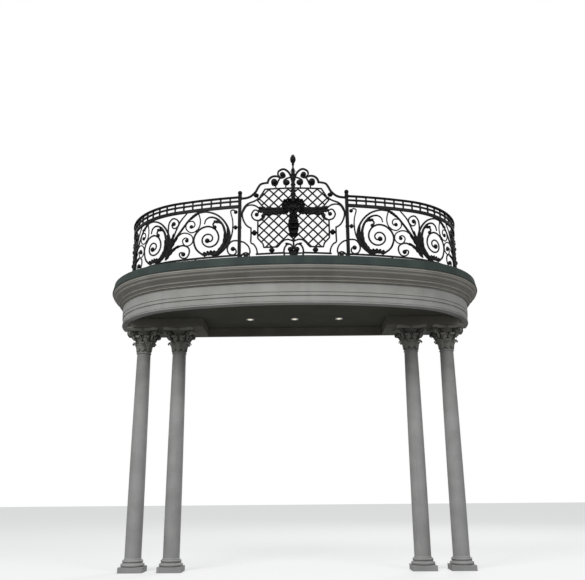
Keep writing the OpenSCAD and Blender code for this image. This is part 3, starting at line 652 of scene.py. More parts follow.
def bead(shape, place, q, towards, radius, half_height):
    """A turned ball on a bar, with its axis along the bar and its sizes in bar sizes."""
    at = place(q)[0]
    shape.ball(at, place(towards)[0] - at, radius * BAR, half_height * BAR, 20)


# Leaves


def leaf_body(u, root, tip):
    """How wide a leaf is along its length: root at its foot, full at 0.42, tip at its end."""
    full = 0.42
    if u < full:
        return root + (1 - root) * sin(pi / 2 * u / full)
    return tip + (1 - tip) * cos(pi / 2 * (u - full) / (1 - full)) ** 0.9


def leaf(shape, spine, width, lobes=4, wrap=0.0, back=0.15, columns=9, root=0.6, tip=0.2, relief=0.07):
    """A lobed leaf along a spine of (point, direction across it) pairs.

    Its rim is cut into lobes that sweep towards the tip and a rib runs to each of them. wrap is the
    curvature of what it lies on, back is how far its rim falls back, and relief how high its ribs are."""
    line = [at for at, across in spine]
    length = sum((b - a).length for a, b in zip(line, line[1:]))
    made = []
    for i, (at, across) in enumerate(spine):
        u = i / (len(line) - 1)
        ahead = ahead_at(line, i)
        out = across.cross(ahead)
        body = leaf_body(u, root, tip)
        lobe = 0.58 + 0.42 * abs(sin(pi * lobes * u)) ** 0.6
        row = []
        for j in range(columns):
            v = 2 * j / (columns - 1) - 1
            side = abs(v)
            reach = 0.5 * width * v * body * (1 - (1 - lobe) * side * (1 - 0.4 * u))
            rib = relief * width * side * cos(2 * pi * (lobes * u - 0.5)) * (1 - 0.5 * u)
            vein = 0.07 * width * exp(-(v / 0.2) ** 2) * (1 - 0.6 * u)
            drop = back * width * side ** 1.8 * body + 0.5 * wrap * reach * reach
            sweep = 0.10 * length * side ** 1.5 * body * (1 - u)
            row.append(at + across * reach + out * (rib + vein - drop) + ahead * sweep)
        made.append(row)
    shape.grid(made)


def laid_spine(line, place, face, forward, lift, rows=17):
    """A leaf's spine along a drawn line on one face of the railing; its tip lifts off."""
    spots = evenly([place(q)[0] for q in line], rows)
    outs = evenly([place(q)[0] + place(q)[1] for q in line], rows)
    made = []
    for i, spot in enumerate(spots):
        u = i / (rows - 1)
        out = (outs[i] - spot).normalized() * face
        rise = forward + lift * max(0.0, (u - 0.55) / 0.45) ** 2
        made.append((spot + out * rise, ahead_at(spots, i).cross(out).normalized()))
    return made


def free_spine(at, along, out, length, curl, rows=17):
    """A leaf's spine that leaves a point along a direction and rolls outwards, curl half turns."""
    along = Vector(along).normalized()
    out = (Vector(out) - along * Vector(out).dot(along)).normalized()
    over = along.cross(out)
    spot = Vector(at)
    made = []
    for i in range(rows):
        u = i / (rows - 1)
        roll = curl * pi * max(0.0, (u - 0.4) / 0.6) ** 1.5 - 0.25 * cos(pi * u) * (u < 0.5)
        made.append((spot.copy(), -over))
        spot += (along * cos(roll) + out * sin(roll)) * length / (rows - 1)
    return made


def drawn_spine(place, x, z, angle, length, roll, face, forward, rows=17):
    """The spine of a leaf that springs from a drawn point at an angle, off one face of the railing."""
    a = radians(angle)
    at, out = place((x, z))
    ahead = place((x + 20 * cos(a), z + 20 * sin(a)))[0] - at
    return free_spine(at + out * face * forward, ahead, out * face, length / 1000, roll, rows)


# Carved capitals, drawn about their own axis from the neck up

LOW_ROW = (0.0, 0.40 * CAPITAL_H)
HIGH_ROW = (0.10 * CAPITAL_H, 0.69 * CAPITAL_H)
# How far a leaf stands from the bell, in metres, by its share of the row's height
LEAF_STAND = [
    (0.006, 0.0), (0.013, 0.3), (0.018, 0.55), (0.027, 0.74), (0.040, 0.88), (0.053, 0.955),
    (0.064, 0.945), (0.068, 0.87), (0.060, 0.81),
]
# How far the abacus is cut in at each height
ABACUS_STEPS = [
    (0.026, 0.0), (0.026, 0.004), (0.018, 0.012), (0.010, 0.020), (0.008, 0.024), (0.003, 0.026),
    (0.0005, 0.030), (0.0005, ABACUS_H),
]
CORNER_SCROLL_AT = (0.252, 0.268)
CORNER_STALK = [(0.118, 0.150), (0.130, 0.205), (0.158, 0.252), (0.205, 0.292), (0.252, 0.302)]
SPREAD_FROM, SPREAD_TO = (0.165, 0.175), (0.25, 0.30)
INNER_STALK = [(0.078, 0.190), (0.070, 0.236), (0.050, 0.272), (0.032, 0.286)]
INNER_SCROLL_X, INNER_SCROLL_Z = 0.031, 0.266
INNER_FACE_R, STEM_FACE_R, FLOWER_R = 0.152, 0.150, 0.190
LEAN_FROM_Z = 0.280


def bell_radius(z):
    return NECK_R + (LIP_R - NECK_R) * (z / BELL_H) ** 2.6


def leaf_row(shape, first, row, width, roll):
    """Eight leaves that rise against the bell and roll outwards at their tips."""
    low, high = row
    outline = []
    for reach, t in LEAF_STAND:
        z = low + t * (high - low)
        outline.append((bell_radius(z) + reach * (roll if t > 0.6 else 1), z))
    outline = evenly(smooth(outline, 5), 19)
    for k in range(8):
        radial, across = around_axis(first + k * pi / 4)
        spine = [(radial * p.x + UP * p.y, across) for p in outline]
        leaf(shape, spine, width, 5, wrap=1 / NECK_R, back=0.04, root=0.75, tip=0.62, relief=0.10)


def on_radius(a):
    """Maps (r, z) to the upright sheet through the axis at angle a."""
    radial, across = around_axis(a)

    def place(q):
        return radial * q[0] + UP * q[1], across

    return place


def before_face(a, r, lean=0.0):
    """Maps (x, z) to a sheet at distance r from the axis, facing angle a and leaning out near its top."""
    radial, across = around_axis(a)

    def place(q):
        return radial * (r + lean * max(q[1] - LEAN_FROM_Z, 0)) + across * q[0] + UP * q[1], radial

    return place


def rolled(points, c, r0, r1, a0, sweep, count):
    """A stalk of smoothed points that ends in a spiral."""
    return smooth(points, 5)[:-1] + spiral(c[0], c[1], r0, r1, a0, sweep, count)


def abacus_outline(inset):
    """A square with hollow sides and cut corners, drawn in by inset."""
    reach = ABACUS_W / 2
    hollow = 0.09 * ABACUS_W
    r = (0.64 * reach * reach + hollow * hollow) / (2 * hollow)
    middle = reach - hollow + r
    side = []
    for k in range(17):
        y = 0.8 * reach * (2 * k / 16 - 1)
        side.append((middle - sqrt(r * r - y * y), y))
    side = [(reach, -0.867 * reach)] + side + [(reach, 0.867 * reach)]
    points = []
    for quarter in range(4):
        a = quarter * pi / 2
        for x, y in side:
            x, y = x * (1 - inset / reach), y * (1 - inset / reach)
            points.append((x * cos(a) - y * sin(a), x * sin(a) + y * cos(a)))
    return points


def corner_scroll(body, leaves, a):
    """The big rolled stalk under one corner of the abacus, with a spreading leaf on each side."""
    corner = on_radius(a)
    line = rolled(CORNER_STALK, CORNER_SCROLL_AT, 0.034, 0.008, 90, -560, 44)
    bar(body, line, corner, [0.010, 0.013, 0.013, 0.011, 0.010], 0.040, 8)
    at, across = corner(CORNER_SCROLL_AT)
    body.ball(at, across, 0.011, 0.024, 14)
    start = corner(SPREAD_FROM)[0]
    for side in BOTH_WAYS:
        spread = free_spine(start, corner(SPREAD_TO)[0] - start, across * side, 0.10, 0.35, rows=11)
        leaf(leaves, spread, 0.060, lobes=3, columns=7, tip=0.4)


def face_scrolls(body, a):
    """The two small scrolls in the middle of one face."""
    face = before_face(a, INNER_FACE_R)
    for side in BOTH_WAYS:
        stalk = [(side * x, z) for x, z in INNER_STALK]
        line = rolled(stalk, (side * INNER_SCROLL_X, INNER_SCROLL_Z), 0.020, 0.006, 90, side * 480, 30)
        bar(body, line, face, [0.007, 0.010, 0.009], 0.020, 8)


def abacus_flower(body, leaves, a):
    """The six-petalled flower in the middle of one side of the abacus, and its stem."""
    radial, sideways = around_axis(a)
    flower = radial * FLOWER_R + UP * (BELL_H + 0.5 * ABACUS_H)
    body.ball(flower + radial * 0.014, radial, 0.008, 0.008, 12)
    for k in range(6):
        b = k * pi / 3
        petal = sideways * cos(b) + UP * sin(b)
        leaf(leaves, free_spine(flower, petal, radial, 0.026, 0.3, rows=5), 0.018, lobes=1, columns=3)
    stem = [(0.0, 0.200), (0.0, 0.250), (0.0, 0.300), (0.0, 0.330)]
    bar(body, stem, before_face(a, STEM_FACE_R, 0.30), [0.008, 0.010, 0.012], 0.012, 8)


def capital_shapes():
    body, leaves = Shape(), Shape()
    heights = [BELL_H * t / 14 for t in range(14)]
    profile = [(bell_radius(z) - 0.001, z) for z in heights]
    lip = [(LIP_R, BELL_H - 0.012), (LIP_R + 0.004, BELL_H - 0.006), (LIP_R, BELL_H)]
    body.lathe((0, 0, 0), UP, profile + lip, 48)
    slices = [[(x, y, BELL_H + z) for x, y in abacus_outline(inset)] for inset, z in ABACUS_STEPS]
    body.grid(slices, closed=True)
    leaf_row(leaves, 0.0, LOW_ROW, 0.088, 1.0)
    leaf_row(leaves, pi / 8, HIGH_ROW, 0.098, 0.95)
    for quarter in range(4):
        a = quarter * pi / 2
        corner_scroll(body, leaves, a + pi / 4)
        face_scrolls(body, a)
        abacus_flower(body, leaves, a)
    return body, leaves


def add_capitals():
    """A bell and its leaves on each column; the four pairs share two meshes."""
    body, leaves = capital_shapes()
    meshes = {}
    for word, (x, y) in COLUMNS.items():
        for part, shape in (("bell", body), ("leaves", leaves)):
            name = "capital_%s_%s" % (part, word)
            if part in meshes:
                piece = add_object(name, meshes[part])
            else:
                piece = shape.mesh_object(name, CAPITAL, 40 if part == "bell" else None)
                meshes[part] = piece.data
            piece.location = (x, y, CAPITAL_Z)
            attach(piece, "root")
            if part == "bell":
                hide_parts("capital_" + word)
            else:
                thicken(piece, CAPITAL_SHEET)


add_capitals()

# Side railings: x along the bay, z above the deck, in the drawing's millimetres

CELL_STROKES = [
    # the big spiral
    stroke([
        (358, 148), (487, 252), (543, 400), (512, 514), (426, 592), (315, 612), (218, 567), (163, 487),
        (151, 400), (185, 325), (250, 287), (315, 289), (364, 315), (396, 353), (408, 400), (396, 446),
        (361, 480), (315, 488), (273, 472), (247, 439), (247, 400), (270, 374), (300, 370), (326, 386),
    ], (1.3, 1.05, 0.95), eye=1.6, steps=5),
    # the outer crescent, the inner one and the curl in its bud
    stroke([
        (568, 793), (494, 838), (370, 852), (250, 820), (150, 760), (62, 664), (2, 545), (-17, 425),
        (14, 304), (85, 213), (172, 146),
    ], (0.9, 1.3, 2.0), thick=0.018, forward=0.001),
    stroke([
        (378, 660), (354, 728), (282, 758), (184, 723), (98, 628), (57, 514), (48, 404), (73, 284),
        (130, 193), (200, 146),
    ], (0.7, 1.6, 2.2), eye=0.75, thick=0.019, forward=-0.001),
    stroke([
        (92, 618), (120, 658), (165, 684), (216, 674), (242, 634), (216, 590),
    ], (1.0, 1.3, 1.0), eye=1.35, thick=0.018),
    # the tie between the spiral and the scroll above it
    straight([(478, 545), (489, 557), (500, 570)], thick=0.026),
]
STEM_STROKES = [
    # the main stem and the one behind it
    stroke([
        (440, 862), (494, 838), (617, 759), (714, 646), (837, 488), (925, 380), (985, 275),
    ], (1.1, 1.4, 1.9), thick=0.019, forward=0.001),
    stroke([
        (672, 866), (696, 838), (770, 754), (830, 637), (890, 496), (940, 404), (966, 330),
    ], (0.8, 1.1, 1.4), thick=0.015, forward=-0.001),
    # the upper, middle and lower scrolls between the stems and the spiral
    stroke([
        (476, 836), (446, 726), (456, 627), (509, 559), (596, 544), (668, 603), (677, 679), (641, 724),
        (565, 721), (532, 667), (555, 626), (590, 636),
    ], (0.8, 0.8, 0.8), eye=1.25, thick=0.014),
    stroke([
        (848, 470), (761, 540), (672, 544), (582, 493), (556, 416), (583, 358), (651, 335), (709, 373),
        (725, 436), (681, 468), (636, 444), (655, 422),
    ], (0.9, 0.8, 0.8), eye=1.25, thick=0.014),
    stroke([
        (985, 190), (881, 296), (778, 344), (702, 347), (624, 301), (609, 226), (644, 157), (706, 146),
        (759, 182), (767, 232), (723, 239), (706, 210),
    ], (1.2, 1.0, 0.9), eye=1.45),
    # the scroll that rises beyond the stems
    stroke([
        (898, 412), (956, 505), (982, 630), (970, 752), (905, 812), (823, 774), (801, 708), (844, 651),
        (898, 659), (921, 714), (889, 722),
    ], (1.0, 1.0, 0.8), eye=1.45),
]
POST_STROKES = [
    # the upright hook, the scroll and the tie beside the panel's post
    stroke([
        (176, 300), (131, 397), (104, 529), (107, 677), (139, 815), (112, 842), (84, 836), (62, 806),
    ], (1.0, 0.8, 0.8), eye=1.25),
    stroke([
        (14, 347), (107, 347), (164, 291), (181, 220), (150, 150), (88, 130), (46, 165), (60, 220), (96, 224),
    ], (1.0, 1.0, 0.9), eye=1.45),
    straight([(16, 560), (62, 560), (107, 560)], (0.9, 0.9, 0.9)),
]
FAN_LEAVES = [
    # x, z, angle, length, width of the calyx under the big spiral
    (262, 146, 90, 86, 60), (232, 148, 112, 84, 56), (292, 148, 68, 84, 56), (200, 150, 132, 84, 52),
    (324, 150, 46, 84, 52), (352, 156, 24, 70, 44),
    # the bud
    (118, 640, 55, 100, 56), (150, 664, 15, 90, 50),
]
# The long leaves that wrap the crescents and the stems: line, width
CRESCENT_LEAVES = [
    (smooth([(245, 136), (150, 186), (72, 290), (36, 390)], 8), 98),
    (smooth([(165, 165), (90, 240), (34, 360), (8, 480), (20, 560)], 8), 60),
    (smooth([(150, 190), (84, 290), (62, 400), (62, 480)], 8), 46),
]
STEM_LEAVES = [
    (smooth([(1010, 170), (960, 280), (890, 400), (820, 500)], 8), 70),
    (smooth([(1020, 150), (940, 240), (850, 320), (770, 352)], 8), 56),
    (smooth([(975, 300), (940, 400), (900, 490), (870, 560)], 8), 54),
    (smooth([(455, 858), (530, 822), (610, 764)], 8), 52),
]


def cell_leaves(shape, place, whole):
    """Leaves on both faces at the knot, up the crescents, on the bud and along the stems."""
    for face in BOTH_WAYS:
        for x, z, angle, length, width in FAN_LEAVES:
            spine = drawn_spine(place, x, z, angle, length, 0.35, face, 0.008, 9)
            leaf(shape, spine, width / 1000, lobes=2, columns=7, tip=0.5)
        for line, width in CRESCENT_LEAVES + (STEM_LEAVES if whole else []):
            spine = laid_spine(line, place, face, 0.012, 0.016)
            leaf(shape, spine, width / 1000, lobes=4, back=0.16, columns=7, root=0.9)


def side_railing(side, word):
    """Two whole bays and the start of a third, which ends at the wall before its stems."""
    for i, bay in enumerate(("first", "middle", "last")):
        place = on_cell(GAP_BY_POST + i * FULL_CELL, side)
        whole = bay != "last"
        bars, leaves = Shape(), Shape()
        forge(bars, place, CELL_STROKES + (STEM_STROKES if whole else []))
        cell_leaves(leaves, place, whole)
        if bay == "first":
            by_post = on_cell(0.0, side)
            forge(bars, by_post, POST_STROKES)
            bead(bars, by_post, (62, 560), (72, 560), 1.45, 1.1)
        name = "scrolls_%s_%s" % (word, bay)
        bars.iron("forged_" + name, name)
        leaves.iron_leaves("leaves_%s_%s" % (word, bay), SCROLL_SHEET)


# The band's middle bar, its uprights and their collars: width and thickness, and a collar's reach
MIDDLE_W, MIDDLE_T = 0.0205, 0.030
UPRIGHT_W, UPRIGHT_T = 0.025, 0.0235
COLLAR_W, COLLAR_T, COLLAR_REACH = (0.024, 0.030, 0.024), 0.034, 0.018


def frieze_flats(side, word):
    """Flat bars over the middle bar and the uprights of the band, with a collar where they cross."""
    shape = Shape()

    def place(q):
        return rail_point(q[0], q[1], side)

    middle = DECK_Z + RAIL_H - 0.44 * BAND_H
    steps = 90
    line = [(0.02 + (SIDE_RUN - 0.03) * k / steps, middle) for k in range(steps + 1)]
    bar(shape, line, place, [MIDDLE_W] * 2, MIDDLE_T, 8)
    count = int(SIDE_RUN / BAND_PITCH)
    for i in range(1, count):
        s = i * SIDE_RUN / count
        upright = [(s, SCROLL_HIGH + 0.01), (s, middle), (s, DECK_Z + RAIL_H - 0.022)]
        collar = [(s - COLLAR_REACH, middle), (s, middle), (s + COLLAR_REACH, middle)]
        bar(shape, upright, place, [UPRIGHT_W] * 2, UPRIGHT_T, 8)
        bar(shape, collar, place, COLLAR_W, COLLAR_T, 8)
    shape.iron("frieze_flats_" + word)


for word, side in SIDES.items():
    side_railing(side, word)
    frieze_flats(side, word)

# Centre panel: x from its middle line, z above the deck, in the same millimetres, one half drawn

FRAME_STROKES = [
    # the ear, the curl inside it and the shaped side
    stroke([
        (500, 1015), (578, 966), (682, 925), (741, 856), (763, 760), (741, 663), (695, 581), (630, 533),
    ], (1.0, 1.2, 1.0), thick=0.019),
    stroke([(748, 800), (700, 885), (632, 905), (560, 885), (505, 840)], (0.6, 1.0, 1.0), eye=0.6),
    stroke([
        (630, 540), (627, 485), (627, 400), (627, 306), (585, 275), (545, 205), (530, 120),
    ], thick=0.019, steps=5),
    straight([(545, 122), (340, 126), (140, 130)], (1.2, 1.2, 1.2)),
    # the hook and the scroll at the post's foot
    stroke([(790, 330), (735, 318), (665, 250), (640, 170), (655, 118)]),
    stroke([
        (785, 70), (752, 130), (700, 152), (655, 125), (655, 85), (690, 75), (700, 100),
    ], (1.0, 1.0, 0.9), eye=1.4),
    straight([(784, 122), (720, 122), (655, 122)]),
]
# The balls that hold the lattice's frame off the outer one: middle, direction of their bar
FRAME_BALLS = (((577, 457), (1, 0)), ((319, 175), (0, 1)))
BALL_REACH = 50
CREST_STROKES = [
    # the hollow top rail
    stroke([
        (776, 1018), (695, 1024), (630, 1050), (565, 1112), (522, 1190), (480, 1238), (384, 1255),
    ], (1.5, 1.5, 1.3), thick=0.020),
    # the two outer scrolls
    stroke([
        (384, 1250), (360, 1315), (305, 1354), (240, 1354), (176, 1328), (124, 1350), (135, 1395),
        (160, 1385),
    ], (1.5, 1.3, 1.0), eye=1.7, thick=0.020),
    stroke([
        (16, 1290), (58, 1406), (137, 1470), (213, 1440), (226, 1378), (180, 1330),
    ], (1.4, 1.3, 1.0), thick=0.019, forward=0.001),
    # the two small ones under them
    stroke([
        (190, 1335), (222, 1280), (250, 1215), (300, 1212), (318, 1250), (285, 1268),
    ], (1.1, 1.1, 1.0), eye=2.05),
    stroke([
        (14, 1335), (80, 1322), (136, 1282), (132, 1225), (86, 1215), (92, 1250),
    ], (1.1, 1.1, 1.0), eye=1.85),
    # the short stays down to the lattice's frame
    straight([(260, 1225), (260, 1190), (260, 1150)], (0.9, 0.9, 0.9)),
    straight([(110, 1222), (110, 1190), (110, 1150)], (0.9, 0.9, 0.9)),
    straight([(562, 1108), (545, 1054), (528, 1000)], (0.8, 0.8, 0.8)),
]
RING_STROKES = [
    stroke([
        (415, 745), (450, 672), (520, 650), (590, 675), (622, 745), (590, 812), (545, 815), (520, 780),
        (545, 745),
    ], (1.0, 1.0, 0.8), eye=1.35),
]
FOOT_STROKES = [
    stroke([
        (128, 66), (141, 120), (139, 180), (118, 234), (80, 264), (44, 258), (22, 230), (26, 198), (50, 184),
    ], (1.2, 1.1, 0.9), eye=1.6),
    stroke([(0, 66), (22, 100), (30, 140), (20, 180), (0, 205)], (1.3, 1.2, 0.7), thick=0.018, steps=5),
    straight([(128, 126), (140, 128), (152, 130)]),
]
# The foot's tie and the stay under the lattice, which cross the middle line
FOOT_MIDDLE = [straight([(-141, 126), (0, 118), (141, 126)]), straight([(0, 330), (0, 250), (0, 190)])]
FOOT_LEAVES = [
    # x, z, turn from upright, length, width
    (6, 80, -8, 120, 52), (16, 80, -38, 92, 46), (60, 262, -78, 70, 36), (0, 300, 180, 70, 34),
]


def panel_frame(shape, place):
    forge(shape, place, FRAME_STROKES)
    for q, along in FRAME_BALLS:
        a = (q[0] - along[0] * BALL_REACH, q[1] - along[1] * BALL_REACH)
        b = (q[0] + along[0] * BALL_REACH, q[1] + along[1] * BALL_REACH)
        forge(shape, place, [straight([a, q, b], (0.8, 0.8, 0.8))])
        bead(shape, place, q, b, 1.8, 1.4)
        at = place(q)[0]
        ahead = place(b)[0] - at
        for step in BOTH_WAYS:
            spot = at - ahead.normalized() * step * 1.45 * BAR
            shape.ball(spot, ahead, 0.8 * BAR, 0.3 * BAR, 14)


def crest(shape, place):
    forge(shape, place, CREST_STROKES)
    bead(shape, place, (552, 1054), (562, 1108), 1.7, 1.2)


def foot_scrolls(shape, place):
    forge(shape, place, FOOT_STROKES)
    at, out = place((128, 60))
    shape.ball(at, out, 0.85 * BAR, 0.7 * BAR, 14)


def foot_leaves(shape, place):
    for x, z, turn, length, width in FOOT_LEAVES:
        for face in BOTH_WAYS:
            spine = drawn_spine(place, x, z, 90 + turn, length, 0.3, face, 0.010, 11)
            leaf(shape, spine, width / 1000, lobes=3, columns=7)


# The lattice: bars at 45 degrees in a frame whose half outline is drawn

LATTICE_EDGE = [
    (0, 305), (30, 322), (80, 338), (135, 330), (185, 286), (212, 250), (240, 223), (436, 223), (449, 278),
    (527, 368), (527, 640), (440, 700), (440, 850), (540, 980), (500, 1021), (422, 1150), (0, 1158),
]
LATTICE_PITCH = 145
CROSSING_Z = 1069
LATTICE_LINES = 12
SHORTEST_BAR = 12
RIVET_MARGIN = 8


def crossings(z0, slope, edge):
    """Where a slanting line through (0, z0) crosses a closed outline, by distance along x."""
    found = []
    for (x1, z1), (x2, z2) in zip(edge, edge[1:] + edge[:1]):
        d1 = z1 - (z0 + slope * x1)
        d2 = z2 - (z0 + slope * x2)
        if (d1 > 0) != (d2 > 0):
            found.append(x1 + (x2 - x1) * d1 / (d1 - d2))
    return sorted(found)


def lattice_line(shape, z0, slope, x1, x2):
    steps = max(2, int((x2 - x1) / 60))
    line = []
    for k in range(steps + 1):
        x = x1 + (x2 - x1) * k / steps
        line.append((x, z0 + slope * x))
    bar(shape, line, WHOLE_PANEL, [0.98 * BAR] * 3, 0.010, forward=0.003 * slope)


def lattice(shape):
    """The frame, the bars of both slopes, and a rivet on both faces wherever two bars cross."""
    edge = LATTICE_EDGE + [(-x, z) for x, z in reversed(LATTICE_EDGE) if x > 0]
    for a, b in zip(edge, edge[1:] + edge[:1]):
        steps = max(2, int((Vector(b) - Vector(a)).length / 40))
        line = [Vector(a).lerp(Vector(b), k / steps) for k in range(steps + 1)]
        bar(shape, line, WHOLE_PANEL, [BAR] * 3, 0.017)
    lines = {1: [], -1: []}
    for slope in BOTH_WAYS:
        for i in range(-LATTICE_LINES, LATTICE_LINES + 1):
            z0 = CROSSING_Z - slope * i * LATTICE_PITCH
            cuts = crossings(z0, slope, edge)
            for x1, x2 in zip(cuts[::2], cuts[1::2]):
                if x2 - x1 > SHORTEST_BAR:
                    lattice_line(shape, z0, slope, x1, x2)
                    lines[slope].append((z0, x1, x2))
    for za, a1, a2 in lines[1]:
        for zb, b1, b2 in lines[-1]:
            x = (zb - za) / 2
            if max(a1, b1) + RIVET_MARGIN < x < min(a2, b2) - RIVET_MARGIN:
                at, out = WHOLE_PANEL((x, za + x))
                for face in BOTH_WAYS:
                    shape.ball(at + out * face * 0.007, out, 0.0085, 0.004, 10)


# The leaf cluster in the middle of the panel, its drop and its two arms

CLUSTER = [
    # x, z, turn from upright, length, width, roll, how far it stands forward
    (28, 818, -12, 180, 104, 0.5, 20), (46, 820, -34, 190, 100, 0.5, 18), (50, 810, -60, 160, 94, 0.5, 16),
    (52, 800, -86, 120, 84, 0.5, 20), (16, 770, -168, 110, 70, 0.5, 20),
    (14, 818, -8, 136, 80, 0.7, 30), (34, 814, -40, 122, 78, 0.7, 32), (38, 800, -80, 96, 70, 0.7, 32),
    (20, 790, -150, 80, 58, 0.7, 30),
    # the drop
    (10, 715, 184, 150, 92, 0.35, 18), (30, 690, -170, 130, 76, 0.45, 14), (8, 640, 180, 160, 112, 0.35, 16),
    (40, 630, -168, 136, 76, 0.45, 12), (8, 560, 180, 156, 112, 0.3, 14), (36, 560, -172, 130, 72, 0.4, 12),
    (24, 490, -172, 110, 62, 0.35, 12), (2, 490, 180, 134, 80, 0.25, 12),
]
# Leaves that stand less far forward than this have one behind them on the back
BACKED = 20
ARM_LEAVES = [
    # drawn points and width of the leaves along each arm, seen from the middle outwards
    ([(70, 800), (140, 828), (210, 818)], 70), ([(70, 782), (140, 758), (205, 764)], 60),
    ([(170, 796), (240, 826), (310, 820)], 64), ([(180, 780), (250, 748), (310, 762)], 64),
    ([(270, 796), (340, 832), (420, 826)], 72), ([(280, 780), (350, 744), (420, 756)], 70),
    ([(370, 796), (440, 836), (520, 846)], 72), ([(380, 784), (440, 742), (470, 700)], 60),
    ([(400, 790), (460, 800), (525, 800)], 56),
]
ARM_STROKES = [
    # the arm and the bar behind the drop
    stroke([(0, 790), (120, 796), (300, 788), (480, 786)], (2.0, 1.6, 1.2), 0.9, 0.020, 0.004, steps=8),
    straight([(0, 820), (0, 600), (0, 390)], (1.6, 1.3, 0.8), 0.022, 0.002),
]


def leaf_cluster(leaves, bars, place):
    for x, z, turn, length, width, roll, forward in CLUSTER:
        spine = drawn_spine(place, x, z, 90 + turn, length, roll, 1, forward / 1000)
        leaf(leaves, spine, width / 1000, tip=0.35)
        if forward < BACKED:
            spine = drawn_spine(place, x, z, 90 + turn, 0.9 * length, 0.3 * roll, -1, 0.010, 13)
            leaf(leaves, spine, 0.9 * width / 1000, back=0.1, tip=0.35)
    for points, width in ARM_LEAVES:
        for face in BOTH_WAYS:
            spine = laid_spine(smooth(points, 6), place, face, 0.010, 0.022, 13)
            leaf(leaves, spine, width / 1000, lobes=3, columns=7, root=0.8, tip=0.35)
    forge(bars, place, ARM_STROKES)
    at, out = place((0, 805))
    bars.ball(at + out * 0.012, out, 0.034, 0.030, 24)


# The middle stem: radius and height above the deck, in the drawing's millimetres

STEM_PROFILE = [
    (14, 800), (18, 860), (18, 1010), (18, 1400), (20, 1432), (24, 1440), (27, 1452), (27, 1464), (23, 1474),
    (16, 1480), (13, 1500), (13, 1530), (20, 1538), (22, 1545), (19, 1552), (14, 1558),
]
BUD_PROFILE = [
    (12, 1552), (24, 1575), (34, 1605), (37, 1632), (29, 1664), (15, 1692), (7, 1707), (5, 1716), (0, 1720),
]
BUD_PETAL = [(14, 1562), (31, 1590), (41, 1620), (40, 1648), (31, 1676), (24, 1692), (29, 1699)]
# Feet and tips of the rings of leaves: two loose ones by the cluster, then five close ones
LOOSE_RINGS = ((850, 1010), (905, 1080))
CLOSE_RINGS = ((1000, 1150), (1080, 1230), (1160, 1310), (1240, 1390), (1310, 1452))
STEM_AT = Vector((0, FRONT_C - RAIL_FRONT_R, 0))


def ring_of_leaves(shape, line, width, turn, lobes, tip):
    """Six leaves round the stem along one drawn line; turn is a share of the step between them."""
    for k in range(6):
        radial, across = around_axis((k + turn) * 2 * pi / 6)
        outline = evenly(smooth(line, 4), 10)
        spine = [(STEM_AT + radial * p.x / 1000 + UP * panel_height(p.y), across) for p in outline]
        leaf(shape, spine, width, lobes, wrap=25, back=0.0, columns=5, tip=tip)


def stem_and_bud(bars, leaves):
    """The middle stem with its leafed sheath, two collars and a bud of petals."""
    for profile in (STEM_PROFILE, [(p.x, p.y) for p in smooth(BUD_PROFILE, 4)]):
        bars.lathe(STEM_AT, UP, [(r / 1000, panel_height(z)) for r, z in profile], 24)
    for i, (low, high) in enumerate(LOOSE_RINGS):
        line = [(19, low), (27, low + 50), (29, high - 50), (36, high - 18), (44, high - 8), (43, high - 24)]
        ring_of_leaves(leaves, line, 0.042, 0.5 * i, 3, 0.4)
    ring_of_leaves(leaves, BUD_PETAL, 0.038, 0, 1, 0.3)
    for i, (low, high) in enumerate(CLOSE_RINGS):
        line = [(19, low), (25, low + 50), (27, high - 50), (33, high - 18), (41, high - 8), (40, high - 24)]
        ring_of_leaves(leaves, line, 0.040, 0.5 * (i % 2), 3, 0.4)


def centre_panel():
    frame_bars, crest_bars, ring_bars, foot_bars, lattice_bars = (Shape() for _ in range(5))
    arm_bars, stem_bars, cluster, stem_leaves, foot_fan = (Shape() for _ in range(5))
    for side in SIDES.values():
        place = on_panel(side)
        panel_frame(frame_bars, place)
        crest(crest_bars, place)
        forge(ring_bars, place, RING_STROKES)
        foot_scrolls(foot_bars, place)
        leaf_cluster(cluster, arm_bars, place)
        foot_leaves(foot_fan, place)
    forge(foot_bars, WHOLE_PANEL, FOOT_MIDDLE)
    lattice(lattice_bars)
    stem_and_bud(stem_bars, stem_leaves)
    frame_bars.iron("forged_panel_frame", "panel_frame")
    crest_bars.iron("forged_crest", "crest_scrolls")
    ring_bars.iron("forged_rings", "side_rings")
    foot_bars.iron("forged_foot_scrolls", "foot_scrolls")
    lattice_bars.iron("riveted_lattice", "lattice")
    arm_bars.iron("leaf_arms", "leaf_cluster")
    stem_bars.iron("turned_stem", "finial")
    cluster.iron_leaves("acanthus_cluster", CLUSTER_SHEET)
    stem_leaves.iron_leaves("stem_leaves", STEM_SHEET)
    foot_fan.iron_leaves("foot_leaves", SCROLL_SHEET)


centre_panel()

# Small work on the plain solids

for name in NODES:
    if name.startswith(("frieze", "bottom_rail", "post_", "wall_post", "edge_band")):
        soften(NODES[name], IRON_EDGE)
    elif name.startswith(("cornice", "fascia", "architrave", "drop_block", "wall_beam", "base_")):
        soften(NODES[name], STONE_EDGE)


def lamp_lenses():
    """A shallow glass in each of the three ceiling lights."""
    shape = Shape()
    profile = [(0.001, 0.0), (0.034, 0.0), (0.034, 0.001), (0.022, 0.0045), (0.0, 0.006)]
    for i in (-1, 0, 1):
        shape.lathe((i * LIGHT_PITCH, LIGHT_Y, LIGHT_Z), -UP, profile, 40)
    shape.piece("lamp_lenses", LENS, "light_rim")


lamp_lenses()

# Stage and light

# Name, place, what it looks at, size and watts
LAMPS = [
    ("key", (-7, -11, 9), (0, -0.8, -0.8), 7, 1640),
    ("fill", (8, -11, 8), (0, -0.8, -1.0), 7, 820),
    ("back", (5, 9, 7), (0, 0, 0), 6, 660),
]


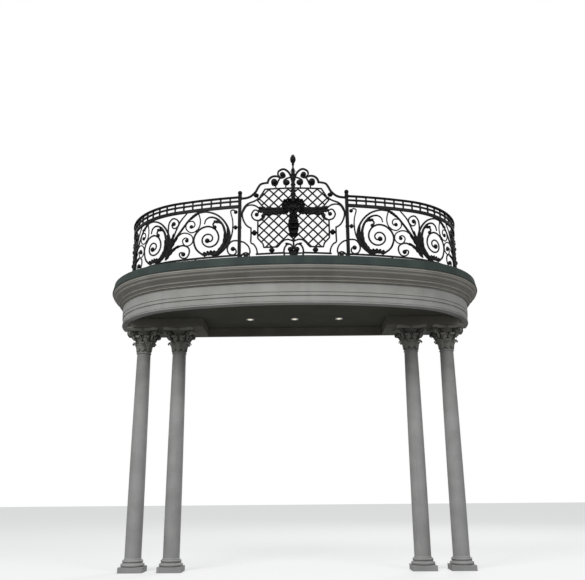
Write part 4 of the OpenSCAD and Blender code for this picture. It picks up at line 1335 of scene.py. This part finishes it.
def pale_paint():
    """Pale to the camera, and dim as a bounce light."""
    paint = Paint("pale_floor")
    cloud = paint.noise(0.4, 2)
    seen = paint.node("ShaderNodeLightPath")
    dull = paint.mix(cloud.between(0.3, 0.7), rgb(0.34, 0.34, 0.34), rgb(0.30, 0.30, 0.30))
    paint.surface(base_color=paint.mix(seen, dull, rgb(0.85, 0.85, 0.85)), roughness=0.9)
    bright = paint.node("ShaderNodeEmission", None, {"Color": rgb(0.90, 0.90, 0.90)})
    matt = Value(paint, paint.shader.outputs["BSDF"])
    both = paint.node("ShaderNodeMixShader", None, [seen * 0.6, matt, bright])
    paint.link(paint.tree.nodes["Material Output"].inputs["Surface"], both)
    return paint.material


def pale_floor():
    mesh = bpy.data.meshes.new("floor")
    corners = [(x, y, cad_low.z) for x, y in ((-60, -40), (60, -40), (60, 60), (-60, 60))]
    mesh.from_pydata(corners, [], [(0, 1, 2, 3)])
    mesh.materials.append(pale_paint())
    add_object("floor", mesh)


def add_lamp(name, at, target, size, watts):
    data = bpy.data.lights.new(name, "AREA")
    data.shape = "DISK"
    data.size = size
    data.energy = watts
    lamp = add_object(name, data)
    lamp.location = at
    lamp.rotation_mode = "QUATERNION"
    lamp.rotation_quaternion = (Vector(target) - Vector(at)).to_track_quat("-Z", "Y")


def pale_sky():
    """Even light from all round, and white where the camera, metal and glass look."""
    world = bpy.data.worlds.new("studio")
    bpy.context.scene.world = world
    world.use_nodes = True
    world.node_tree.nodes.clear()
    sky = Nodes(world.node_tree)
    camera_ray = sky.node("ShaderNodeLightPath")
    seen = camera_ray.either(camera_ray.beside("Is Transmission Ray"))
    seen = seen.either(camera_ray.beside("Is Glossy Ray"))
    light = sky.node("ShaderNodeBackground", None, {"Color": rgb(0.86, 0.88, 0.90), "Strength": 0.46})
    white = sky.node("ShaderNodeBackground", None, {"Color": rgb(1, 1, 1)})
    both = sky.node("ShaderNodeMixShader", None, [seen, light, white])
    sky.node("ShaderNodeOutputWorld", None, {"Surface": both})


pale_floor()
for lamp in LAMPS:
    add_lamp(*lamp)
pale_sky()
bpy.context.scene.view_settings.view_transform = "Standard"
